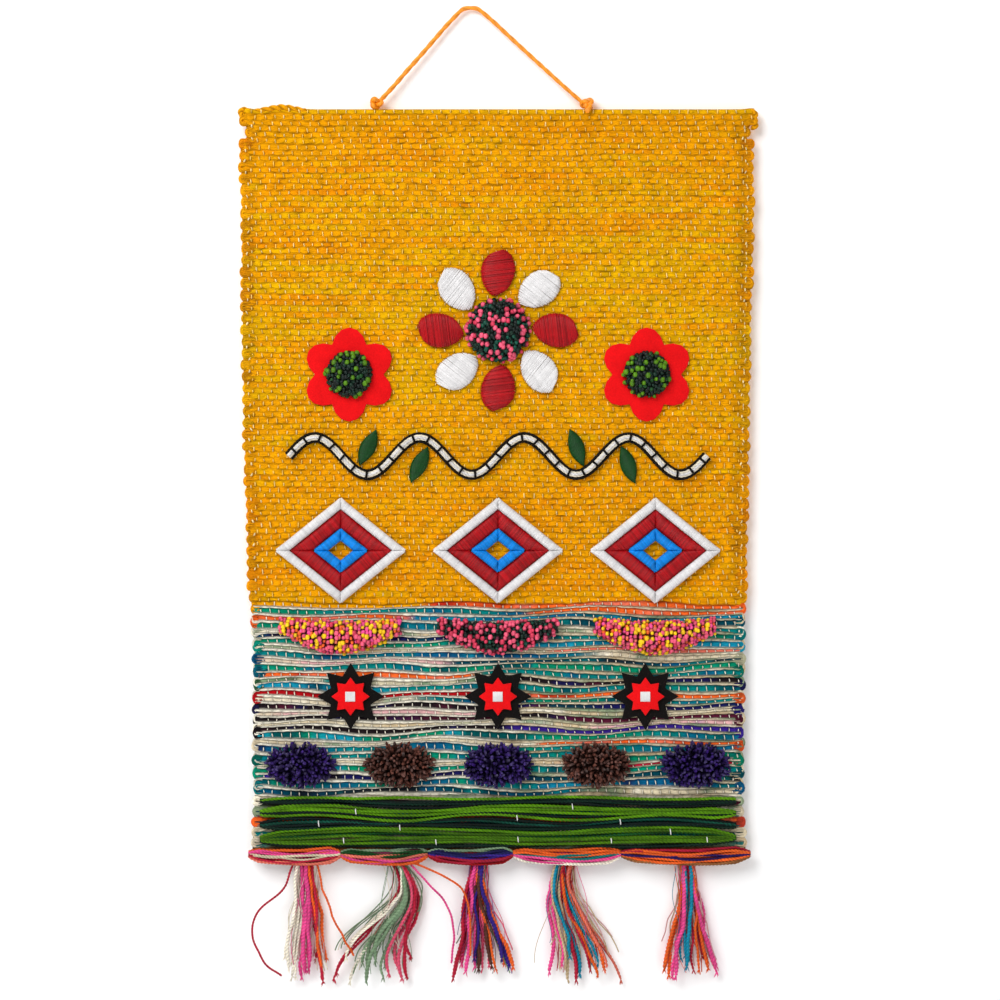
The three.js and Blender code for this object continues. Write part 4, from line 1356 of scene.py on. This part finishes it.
def fluff(rng, tassel):
    """Fine paler strands between the thick ones."""
    t = np.linspace(0, 1, FINE_STATIONS)
    routes, dyes = [], []
    for k in range(FINE_STRANDS):
        start = tassel["at"] + tassel["root"] * rng.uniform(-0.42, 0.42)
        end_share = (k + rng.uniform(0, 1)) / FINE_STRANDS
        wander = 1.4 * slow_noise(rng, FINE_STATIONS, 6) * np.clip(t * 4, 0, 1)
        across = strand_across(tassel, start, end_share, t ** 1.2, t) + wander
        down = TASSEL_TOP + 2 + rng.uniform(54, 80) * t
        routes.append(on_cloth(across, down, 3.4 + 1.2 * slow_noise(rng, FINE_STATIONS, 9)))
        tone = DYES[tassel["fluff"][k % 3]] * rng.uniform(0.85, 1.1)
        dyes.append(np.ones((FINE_STATIONS, 1)) * tone)
    return tubes(routes, 0.55, dyes, sides=3)


def loose_hairs(rng, tassel):
    """Single fibres that cross the front of a tassel."""
    t = np.linspace(0, 1, 30)
    parts = []
    for hair in range(HAIRS):
        start = tassel["at"] + rng.uniform(-8, 8)
        reach = rng.uniform(-16, 16)
        across = start + reach * t + 5 * np.sin(t * rng.uniform(3, 7) + hair) * t
        line = on_cloth(across, TASSEL_TOP + 6 + rng.uniform(45, 76) * t, 7.0)
        parts.append(tubes([line], 0.28, DYES[tassel["dyes"][hair]], sides=3))
    return parts


def tassel_strands(i, tassel):
    rng = np.random.default_rng(80 + i)
    parts = tassel_yarns(rng, tassel)
    parts += [stray_strand(rng, stray) for stray in STRAYS if stray["tassel"] == i]
    parts.append(fluff(rng, tassel))
    parts += loose_hairs(rng, tassel)
    return make_piece(f"tassel_strands_{i + 1}", parts, WOOL, [f"tassel_{i + 1}"])


tassels = [tassel_strands(i, tassel) for i, tassel in enumerate(TASSELS)]


# Satin stitch: petals, leaves and the wrapped bars of the lozenges

ROSETTE = {"down": 155, "petals": 8, "inner": 24.8, "length": 31.0, "width": 25.0}
THREAD_PITCH = 0.78
THREAD_RADIUS = 0.55


def thread_dyes(rng, colour, count, spread):
    return DYES[colour] * (1 + spread * rng.uniform(-1, 1, (count, 1)))


def turned(across, down, along, side, turn):
    """Places for distances along and beside a line that starts at a place and leans by a turn."""
    return np.stack([
        across + along * math.sin(turn) + side * math.cos(turn),
        down - along * math.cos(turn) + side * math.sin(turn),
    ], axis=1)


def satin_petal(i):
    """A petal that points away from the rosette's middle, its threads laid across it."""
    rng = np.random.default_rng(100 + i)
    half = ROSETTE["length"] / 2
    along = np.arange(-half + 0.5, half - 0.4, THREAD_PITCH)
    count = len(along)
    width = ROSETTE["width"] / 2 * np.sqrt(1 - (along / half) ** 2) * (1 + 0.1 * along / half)
    height = 1.0 + 2.6 * np.sqrt(np.clip(1 - (along / half) ** 4, 0, 1))
    reach = ROSETTE["inner"] + half + along
    ends = []
    for sign in (-1, 1):
        out = reach + sign * 1.4 + rng.uniform(-0.25, 0.25, count)
        side = sign * (width + rng.uniform(-0.2, 0.3, count))
        ends.append(turned(0, ROSETTE["down"], out, side, 2 * math.pi * i / ROSETTE["petals"]))
    colour, slot, spread = ("white", "white_satin", 0.08) if i % 2 else ("dark_red", "red_satin", 0.28)
    part = stitches(*ends, height, THREAD_RADIUS, thread_dyes(rng, colour, count, spread), pad=3.0)
    return make_piece(f"satin_petal_{i + 1}", [part], SATIN, [f"rosette_petal_{i + 1}"])


petals = [satin_petal(i) for i in range(ROSETTE["petals"])]

LEAVES = [
    {"across": -91, "above": 6, "turn": 0.4},
    {"across": -55, "above": -6, "turn": 0.4},
    {"across": 55, "above": 6, "turn": -0.4},
    {"across": 91, "above": -6, "turn": -0.4},
]
LEAF_HALF_LENGTH = 13
VINE = {"down": 243, "wave": 13, "waves": 4, "half_length": 146}


def satin_leaf(i, leaf):
    rng = np.random.default_rng(120 + i)
    along = np.arange(-12.6, 12.7, THREAD_PITCH)
    bow = 1 - (along / LEAF_HALF_LENGTH) ** 2
    width = 5.6 * bow + 0.2
    height = 0.9 + 2.6 * np.sqrt(np.clip(bow, 0, 1))
    down = VINE["down"] - leaf["above"]
    ends = [
        turned(leaf["across"], down, along + sign * 1.2, sign * width, leaf["turn"]) for sign in (-1, 1)
    ]
    dyes = thread_dyes(rng, "leaf_green", len(along), 0.15)
    part = stitches(*ends, height, THREAD_RADIUS, dyes, pad=3.0)
    return make_piece(f"satin_leaf_{i + 1}", [part], SATIN, [f"vine_leaf_{i + 1}"])


leaves = [satin_leaf(i, leaf) for i, leaf in enumerate(LEAVES)]

LOZENGES = {"across": [-110, 0, 110], "down": 309, "half_width": 46, "half_height": 37}
# The bars of a lozenge from the outside in
BARS = {
    "white": {"node": "frame", "dye": "white", "spread": 0.08, "width": 6.2, "height": 5.0, "thread": 0.55},
    "red": {"node": "field", "dye": "dark_red", "spread": 0.3, "width": 10.0, "height": 3.4, "thread": 0.6},
    "blue": {"node": "inner", "dye": "blue", "spread": 0.2, "width": 6.6, "height": 5.0, "thread": 0.55},
}


def diamond_stitches(rng, across, inset, bar):
    """Four mitred bars round a diamond, each wrapped with threads laid square across it."""
    half_width, half_height = LOZENGES["half_width"], LOZENGES["half_height"]
    size = 1 - inset * math.hypot(half_width, half_height) / (half_width * half_height)
    corners = size * np.array([(half_width, 0), (0, half_height), (-half_width, 0), (0, -half_height)])
    middle = np.array([across, LOZENGES["down"]])
    starts, ends = [], []
    for a, b in zip(corners, np.roll(corners, -1, axis=0)):
        length = np.linalg.norm(b - a)
        direction = (b - a) / length
        inward = np.array([-direction[1], direction[0]])
        tilt = []
        for corner in (a, b):
            toward = -corner / np.linalg.norm(corner)
            tilt.append(np.dot(toward, inward) / abs(np.dot(toward, direction)))
        for s in np.arange(0.5, length - 0.4, bar["thread"] * 1.42):
            deep = min(bar["width"], s * tilt[0], (length - s) * tilt[1])
            if deep < 0.7:
                continue
            near = a + direction * (s + rng.uniform(-0.08, 0.08))
            far = near + inward * deep + direction * rng.uniform(-0.15, 0.15)
            starts.append(middle + near * [1, -1])
            ends.append(middle + far * [1, -1])
    lengths = np.linalg.norm(np.array(ends) - np.array(starts), axis=1)
    heights = bar["height"] * np.clip(0.35 + 0.65 * lengths / bar["width"], 0, 1)
    dyes = thread_dyes(rng, bar["dye"], len(starts), bar["spread"])
    return stitches(starts, ends, heights, bar["thread"], dyes, pad=3.4)


def lozenge(i, across):
    rng = np.random.default_rng(140 + i)
    pieces = []
    inset = 0
    for name, bar in BARS.items():
        part = diamond_stitches(rng, across, inset, bar)
        nodes = [f"lozenge_{bar['node']}_{i + 1}"]
        pieces.append(make_piece(f"lozenge_{name}_{i + 1}", [part], SATIN, nodes))
        inset += bar["width"] + GAP
    return pieces


lozenges = [piece for i, across in enumerate(LOZENGES["across"]) for piece in lozenge(i, across)]


# Looped pile: rounded yarn tips packed over a mound

# The dyes in each mixture of yarns, and their portions
PILE_MIXES = {
    "rosette": {"dark_green": 5, "night_green": 4, "pine": 3, "pink": 4, "rose": 1},
    "flower": {"night_green": 7, "dark_green": 4, "leaf_green": 1, "lime": 3},
    "warm_swag": {"pink": 4, "rose": 1, "salmon": 1, "hot_pink": 2, "yellow": 4, "orange": 2},
    "dark_swag": {"dark_green": 3, "night_green": 2, "pine": 1, "pink": 3, "rose": 2, "plum": 1},
}
BRIGHT_TIPS = {"pink", "rose", "lime", "yellow"}
# Stations of one tip from its root to its end, with painted shade toward the root and a painted highlight
# near the end
TIP = [
    {"share": 0.0, "radius": 0.7, "shade_and_highlight": 0.1},
    {"share": 0.4, "radius": 0.92, "shade_and_highlight": 0.2},
    {"share": 0.68, "radius": 1.0, "shade_and_highlight": 0.5},
    {"share": 0.86, "radius": 0.88, "shade_and_highlight": 0.95},
    {"share": 0.96, "radius": 0.6, "shade_and_highlight": 1.25},
    {"share": 1.03, "radius": 0.3, "shade_and_highlight": 1.0},
]


def steady_side(normals, steep):
    """A direction well away from each yarn's own, from which its sides are measured round."""
    front = np.abs(normals[:, 2]) > steep
    return np.where(front[:, None], [0.0, 0.0, 1.0], [0.0, 1.0, 0.0])[:, None, :]


def unit(directions):
    return directions / np.linalg.norm(directions, axis=1, keepdims=True)


def pile_tips(rng, roots, normals, length, radius, mix):
    """Stubby yarn tips on (across, down, out) places, each pointing along its normal."""
    normals = unit(normals + 0.38 * rng.uniform(-1, 1, normals.shape))
    count = len(roots)
    names = [name for name, portion in PILE_MIXES[mix].items() for _ in range(portion)]
    picks = rng.integers(0, len(names), count)
    bright = np.array([name in BRIGHT_TIPS for name in names])[picks][:, None]
    sizes = rng.uniform(0.75, 1.2, (count, 1)) * np.where(bright, 1.1, 1.0)
    # Painted shade toward each tip's root and a painted highlight near its end.
    shares, profile, shade_and_highlight = (
        np.array([station[column] for station in TIP]) for column in ("share", "radius", "shade_and_highlight")
    )
    reach = length * rng.uniform(0.75, 1.15, (count, 1)) * (shares - 0.8) + np.where(bright, 0.7, -0.7)
    places = roots[:, None, :] + reach[:, :, None] * normals[:, None, :]
    dyes = np.array([DYES[name] for name in names])[picks] * rng.uniform(0.75, 1.15, (count, 1))
    return tubes(
        laid(places), radius * sizes * profile, dyes[:, None, :] * shade_and_highlight[:, None], plies=2, twist=9.0,
        sideways=steady_side(normals, 0.8), pointed=True,
    )


def dome_places(count, half_width, half_height, height, base, rng, lowest=0.1):
    """Even places over half an ellipsoid, with their normals, as (across, down, out) from its middle."""
    i = np.arange(count) + 0.5
    up = 1 - (1 - lowest) * i / count
    golden_angle = 2.39996
    turn = i * golden_angle + rng.uniform(-0.12, 0.12, count)
    level = np.sqrt(1 - up ** 2)
    round_places = np.stack([level * np.cos(turn), level * np.sin(turn), up], axis=1)
    halves = np.array([half_width, half_height, height])
    return round_places * halves + [0, 0, base], unit(round_places / halves)


def under_mound(half_width, half_height, height, across, down, colour, base=SEWN_ON):
    """The knotted backing that shows between the tips, its dye halved as painted shade."""
    rings, sides = 7, 28
    levels = np.linspace(0, np.pi / 2, rings)
    route = on_cloth(across, down, base + height * np.sin(levels))
    radii = np.cos(levels)[None, :] + 0.001
    part = tubes([route], radii, DYES[colour] * 0.5, sides=sides, sideways=(0, 0, 1))
    middle = on_cloth(across, down, 0.0)
    part["places"][:, 0] = middle[0] + (part["places"][:, 0] - middle[0]) * half_width
    part["places"][:, 2] = middle[2] + (part["places"][:, 2] - middle[2]) * half_height
    return part


def round_pile(name, node, across, down, radius, height, count, mix, seed, base=SEWN_ON):
    rng = np.random.default_rng(seed)
    places, normals = dome_places(count, radius - 0.6, radius - 0.6, height - 0.8, base, rng)
    parts = [
        under_mound(radius - 3, radius - 3, height - 2.5, across, down, "night_green", base),
        pile_tips(rng, places + [across, down, 0.0], normals, 5.4, 1.9, mix),
    ]
    return make_piece(name, parts, PILE, [node])


rosette_centre = round_pile(
    "rosette_loops", "rosette_pile", across=0, down=ROSETTE["down"], radius=23,
    height=12, count=300, mix="rosette", seed=160,
)
FLOWERS = {"across": {"left": -104, "right": 104}, "down": 186, "radius": 33, "notch": 9, "corners": 36}
flower_centres = [
    round_pile(
        f"flower_loops_{side}", f"flower_pile_{side}", across=across, down=FLOWERS["down"],
        radius=17, height=9, count=175, mix="flower", seed=170 + i, base=ON_FELT,
    )
    for i, (side, across) in enumerate(FLOWERS["across"].items())
]

SWAGS = {"across": [-110, 0, 110], "down": 361, "half_length": 43, "sag": 9, "height": 23, "depth": 10}
SWAG_LOOKS = [
    {"mix": "warm_swag", "backing": "crimson", "shade": 0.4, "slot": "pink_yellow_pile"},
    {"mix": "dark_swag", "backing": "night_green", "shade": 1.0, "slot": "pink_green_pile"},
    {"mix": "warm_swag", "backing": "crimson", "shade": 0.4, "slot": "pink_yellow_pile"},
]
PILE_PITCH = 2.75


def pile_swag(i, across):
    """A swag of looped pile: a sagging half round, thinner toward its ends, with tips all over it."""
    rng = np.random.default_rng(180 + i)
    look = SWAG_LOOKS[i]
    half = SWAGS["half_length"]
    roots, normals = [], []
    for x in np.arange(-half + 1.5, half - 1.0, PILE_PITCH):
        bow = math.cos(math.pi * x / (2 * half))
        middle = SWAGS["down"] + SWAGS["sag"] * bow
        breadth = SWAGS["height"] * (0.45 + 0.55 * bow) / 2 - 0.6
        full = min(1.0, 0.45 + min(x + half, half - x) / 12)
        depth = (SWAGS["depth"] - 0.8) * full
        count = max(4, round(math.pi * (breadth + depth) / 2 / 2.8))
        for angle in np.linspace(-1.4, 1.4, count) + rng.uniform(-0.1, 0.1, count):
            v, out = math.sin(angle), math.cos(angle)
            place = across + x + rng.uniform(-0.8, 0.8)
            roots.append((place, middle + breadth * v, SEWN_ON + depth * out))
            normals.append((0.5 * (x / half) ** 5, v * 0.9, out + 0.15))
    t = np.linspace(-half + 3, half - 3, 24)
    bow = np.cos(math.pi * t / (2 * half))
    core = on_cloth(t + across, SWAGS["down"] + SWAGS["sag"] * bow, SEWN_ON + 3.2)
    thick = SWAGS["height"] * (0.45 + 0.55 * bow) / 2 - 3
    parts = [
        # The backing's dye times its shade: painted shade that shows between the tips.
        tubes([core], thick[None, :], DYES[look["backing"]] * look["shade"], sides=12, flat=0.4),
        pile_tips(rng, np.array(roots), np.array(normals), 5.0, 1.8, look["mix"]),
    ]
    return make_piece(f"swag_loops_{i + 1}", parts, PILE, [f"pile_swag_{i + 1}"])


swags = [pile_swag(i, across) for i, across in enumerate(SWAGS["across"])]


# Shaggy tufts: short curling strands that stand out all round

TUFTS = {"across": [-138, -69, 0, 69, 138], "down": 459}
TUFT_STRANDS = 240
TUFT_STATIONS = 10


def shag_tuft(i, across):
    rng = np.random.default_rng(200 + i)
    each = (TUFT_STRANDS, 1)
    places, normals = dome_places(TUFT_STRANDS, 20, 11, 6.5, SEWN_ON, rng, 0.02)
    roots = places + [across, TUFTS["down"], 0.0]
    t = np.linspace(0, 1, TUFT_STATIONS)
    length = rng.uniform(6.0, 10.5, each)
    ahead = normals + 0.35 * rng.uniform(-1, 1, normals.shape)
    ahead[:, 2] = np.abs(ahead[:, 2]) * 0.85
    ahead = unit(ahead)
    curl = rng.uniform(-1, 1, (*each, 3))
    curl -= (curl * ahead[:, None, :]).sum(axis=2, keepdims=True) * ahead[:, None, :]
    bent = 2.2 * np.sin(t * rng.uniform(2.6, 6.0, each) + rng.uniform(0, 6, each))
    straight = (length * (t - 0.35))[:, :, None] * ahead[:, None, :]
    path = roots[:, None, :] + straight + bent[:, :, None] * curl * t[:, None]
    path[..., 2] = np.clip(path[..., 2], SEWN_ON - 0.2, SEWN_ON + 11.5)
    colour = "brown" if i % 2 else "purple"
    tone = DYES[colour] * rng.uniform(0.3, 1.5, each)
    # Painted shade toward each strand's root and painted light toward its tip, with a painted pale highlight
    # on some tips.
    shade_and_highlight = np.interp(t, [0, 0.5, 1], [0.08, 0.45, 1.45])[:, None]
    tip_highlight = 0.14 * np.clip(t - 0.55, 0, 1)[:, None] * rng.uniform(0, 1, (*each, 1)) ** 2
    radii = rng.uniform(0.95, 1.4, each) * np.interp(t, [0, 0.7, 1], [0.9, 1.05, 0.75])
    parts = [
        under_mound(19, 10.5, 5.5, across, TUFTS["down"], colour),
        tubes(
            laid(path), radii, tone[:, None, :] * shade_and_highlight + tip_highlight, sides=5, plies=2, twist=5.5, groove=0.3,
            sideways=steady_side(ahead, 0.75), pointed=True,
        ),
    ]
    return make_piece(f"shag_strands_{i + 1}", parts, WOOL, [f"shag_tuft_{i + 1}"])


tufts = [shag_tuft(i, across) for i, across in enumerate(TUFTS["across"])]


# Vine: cream yarns laid side by side between black ones, tied down in black

VINE_STATIONS = 420
VINE_YARNS = [
    {"beside": -2.7, "out": 1.4, "radius": 1.2, "dye": "black"},
    {"beside": 2.7, "out": 1.4, "radius": 1.2, "dye": "black"},
    {"beside": -0.95, "out": 2.9, "radius": 1.1, "dye": "ivory"},
    {"beside": 0.95, "out": 3.0, "radius": 1.1, "dye": "ivory"},
    {"beside": 0.0, "out": 3.9, "radius": 0.95, "dye": "white"},
]
VINE_TIE_STEP = 12


def vine_yarns():
    """The yarns of the vine along one wavy line, and the pairs of ties across them."""
    across = np.linspace(-VINE["half_length"], VINE["half_length"], 900)
    down = VINE["down"] - VINE["wave"] * np.sin(np.pi * VINE["waves"] * across / VINE["half_length"])
    line = evenly(np.stack([across, down, 0 * across], axis=1), VINE_STATIONS)[:, :2]
    along = unit(np.gradient(line, axis=0))
    square = np.stack([-along[:, 1], along[:, 0]], axis=1)
    rng = np.random.default_rng(220)
    parts = []
    for yarn in VINE_YARNS:
        wander = 0.25 * slow_noise(rng, VINE_STATIONS, 24)
        place = line + square * (yarn["beside"] + wander)[:, None]
        shade = DYES[yarn["dye"]] * varied(rng, VINE_STATIONS, 0.1, 10)[:, None]
        route = on_cloth(place[:, 0], place[:, 1], SEWN_ON + yarn["out"])
        parts.append(tubes([route], yarn["radius"], shade, plies=2))
    starts, ends = [], []
    for k in range(6, 416, VINE_TIE_STEP):
        lean = rng.uniform(-0.5, 0.5)
        for beside in (-0.35, 0.35):
            starts.append(line[k] + square[k] * 3.5 + along[k] * (beside + lean))
            ends.append(line[k] - square[k] * 3.5 + along[k] * (beside - lean))
    parts.append(stitches(starts, ends, 6.0, 0.5, DYES["black"], pad=2.6))
    return make_piece("vine_yarns", parts, WOOL, ["vine_cord"])


vine = vine_yarns()


# Felt flowers and stars, cut from sheet felt and rounded at the cut edge


def nothing_selected():
    if bpy.context.object and bpy.context.object.mode == "EDIT":
        bpy.ops.object.mode_set(mode="OBJECT")
    bpy.ops.object.select_all(action="DESELECT")


def edit_with(selection):
    """Goes into edit mode with all of the mesh selected, or none."""
    bpy.ops.object.mode_set(mode="EDIT")
    bpy.ops.mesh.select_all(action=selection)


def leave_edit():
    bpy.ops.object.mode_set(mode="OBJECT")


def felt_cutting(name, corners, radius, radius_shares, across, down, out, material, node):
    """A disc whose rim points are drawn in by shares in turn, then given its thickness."""
    nothing_selected()
    middle = Vector(on_cloth(across, down, out) / 1000)
    upright = (math.radians(90), 0, 0)
    bpy.ops.mesh.primitive_circle_add(
        vertices=corners, radius=radius / 1000, fill_type="NGON", location=middle, rotation=upright,
    )
    piece = bpy.context.object
    piece.name = piece.data.name = name
    bpy.ops.object.transform_apply(location=True, rotation=True, scale=True)
    for share in sorted(set(radius_shares) - {1}):
        edit_with("DESELECT")
        leave_edit()
        for vertex in piece.data.vertices:
            place = vertex.co - middle
            corner = round(math.atan2(place.x, place.z) / (2 * math.pi) * corners)
            if place.length > radius / 1000 * 0.999:
                vertex.select = radius_shares[corner % len(radius_shares)] == share
        bpy.ops.object.mode_set(mode="EDIT")
        bpy.ops.transform.resize(value=(share, 1, share), center_override=middle)
        leave_edit()
    edit_with("SELECT")
    bpy.ops.mesh.extrude_region_move(TRANSFORM_OT_translate={"value": (0, -FELT_THICKNESS / 1000, 0)})
    bpy.ops.mesh.select_all(action="SELECT")
    bpy.ops.mesh.normals_make_consistent(inside=False)
    leave_edit()
    bevel = piece.modifiers.new("cut_edge", "BEVEL")
    bevel.width = 0.0006
    bevel.segments = 2
    bpy.ops.object.modifier_apply(modifier="cut_edge")
    edit_with("SELECT")
    bpy.ops.mesh.quads_convert_to_tris()
    leave_edit()
    bpy.ops.object.shade_smooth_by_angle(angle=math.radians(50))
    return dressed(piece, material, [node])


def lobe_share(corner):
    """How far out a corner of a flower with six lobes lies, as a share of its radius."""
    lobe = abs(math.cos(math.radians(3 * 360 / FLOWERS["corners"] * corner)))
    return round((FLOWERS["radius"] - FLOWERS["notch"] * (1 - lobe)) / FLOWERS["radius"], 4)


FLOWER_SHARES = [lobe_share(corner) for corner in range(FLOWERS["corners"])]
flowers = [
    felt_cutting(
        f"felt_petals_{side}", FLOWERS["corners"], FLOWERS["radius"], FLOWER_SHARES, across,
        FLOWERS["down"], SEWN_ON, RED_FELT, f"felt_flower_{side}",
    )
    for side, across in FLOWERS["across"].items()
]

STARS = {"across": [-103, 0, 103], "down": 411}
STAR_CORNERS = 16
STAR_LAYERS = [
    {"name": "dark", "node": "black", "radius": 23.5, "notch": 15, "out": SEWN_ON, "felt": BLACK_FELT},
    {"name": "top", "node": "red", "radius": 13.5, "notch": 9.25, "out": ON_FELT, "felt": RED_FELT},
]


def star(i, across):
    """A star of two layers of felt, held by a square of white stitches."""
    pieces = []
    for layer in STAR_LAYERS:
        node, radius = layer["node"], layer["radius"]
        pieces.append(felt_cutting(
            f"star_{layer['name']}_{i + 1}", STAR_CORNERS, radius, [1, round(layer["notch"] / radius, 4)],
            across, STARS["down"], layer["out"], layer["felt"], f"star_{node}_{i + 1}",
        ))
    rng = np.random.default_rng(240 + i)
    rows = np.arange(-3.2, 3.3, 0.75)
    starts = [(across + x, STARS["down"] - 3.6) for x in rows]
    ends = [(across + x, STARS["down"] + 3.6) for x in rows]
    dyes = thread_dyes(rng, "white", len(rows), 0.04)
    stitched = stitches(starts, ends, 1.3, 0.5, dyes, base=SEWN_ON + 4.0)
    pieces.append(make_piece(f"star_stitches_{i + 1}", [stitched], SATIN))
    return pieces


stars = [piece for i, across in enumerate(STARS["across"]) for piece in star(i, across)]


# Studio: a pale wall that can be seen through from behind, a pale floor and soft light

HANGING_MIDDLE = Vector((0.02, 0, -0.34))


def studio_plane(name, location, rotation, size, seen_through):
    """A plane of the studio; one that is seen through is clear to shadows and from behind."""
    nothing_selected()
    bpy.ops.mesh.primitive_plane_add(size=size, location=location, rotation=rotation)
    plane = bpy.context.object
    plane.name = name
    material = bpy.data.materials.new(name)
    material.use_nodes = True
    tree = material.node_tree
    shader = tree.nodes["Principled BSDF"]
    shader.inputs["Base Color"].default_value = (0.93, 0.93, 0.93, 1)
    shader.inputs["Roughness"].default_value = 0.9
    if seen_through:
        clear = tree.nodes.new("ShaderNodeBsdfTransparent")
        facing = tree.nodes.new("ShaderNodeNewGeometry")
        ray = tree.nodes.new("ShaderNodeLightPath")
        let_through = calculate(tree, "MAXIMUM", facing.outputs["Backfacing"], ray.outputs["Is Shadow Ray"])
        mix = tree.nodes.new("ShaderNodeMixShader")
        tree.links.new(let_through, mix.inputs["Fac"])
        tree.links.new(shader.outputs[0], mix.inputs[1])
        tree.links.new(clear.outputs[0], mix.inputs[2])
        tree.links.new(mix.outputs[0], tree.nodes["Material Output"].inputs["Surface"])
    plane.data.materials.append(material)


studio_plane("wall", (0.02, 0.002, -0.3), (math.radians(90), 0, 0), size=4.0, seen_through=True)
studio_plane("floor", (0, 0, -1.3), (0, 0, 0), size=8.0, seen_through=False)


def soft_light(name, location, energy, size):
    """A round soft light that is turned toward the hanging's middle."""
    data = bpy.data.lights.new(name, "AREA")
    data.shape = "DISK"
    data.size = size
    data.energy = energy
    light = placed(name, data)
    light.location = location
    light.rotation_euler = (HANGING_MIDDLE - Vector(location)).to_track_quat("-Z", "Y").to_euler()


soft_light("key", (-0.95, -1.5, 0.85), energy=41, size=1.5)
soft_light("fill", (1.2, -1.8, -0.2), energy=6, size=1.4)
soft_light("back", (0.9, 1.6, 0.7), energy=34, size=1.5)
world = bpy.data.worlds.new("studio")
world.use_nodes = True
world.node_tree.nodes["Background"].inputs["Color"].default_value = (1, 1, 1, 1)
world.node_tree.nodes["Background"].inputs["Strength"].default_value = 0.4
bpy.context.scene.world = world
bpy.context.scene.view_settings.view_transform = "Standard"

nothing_selected()
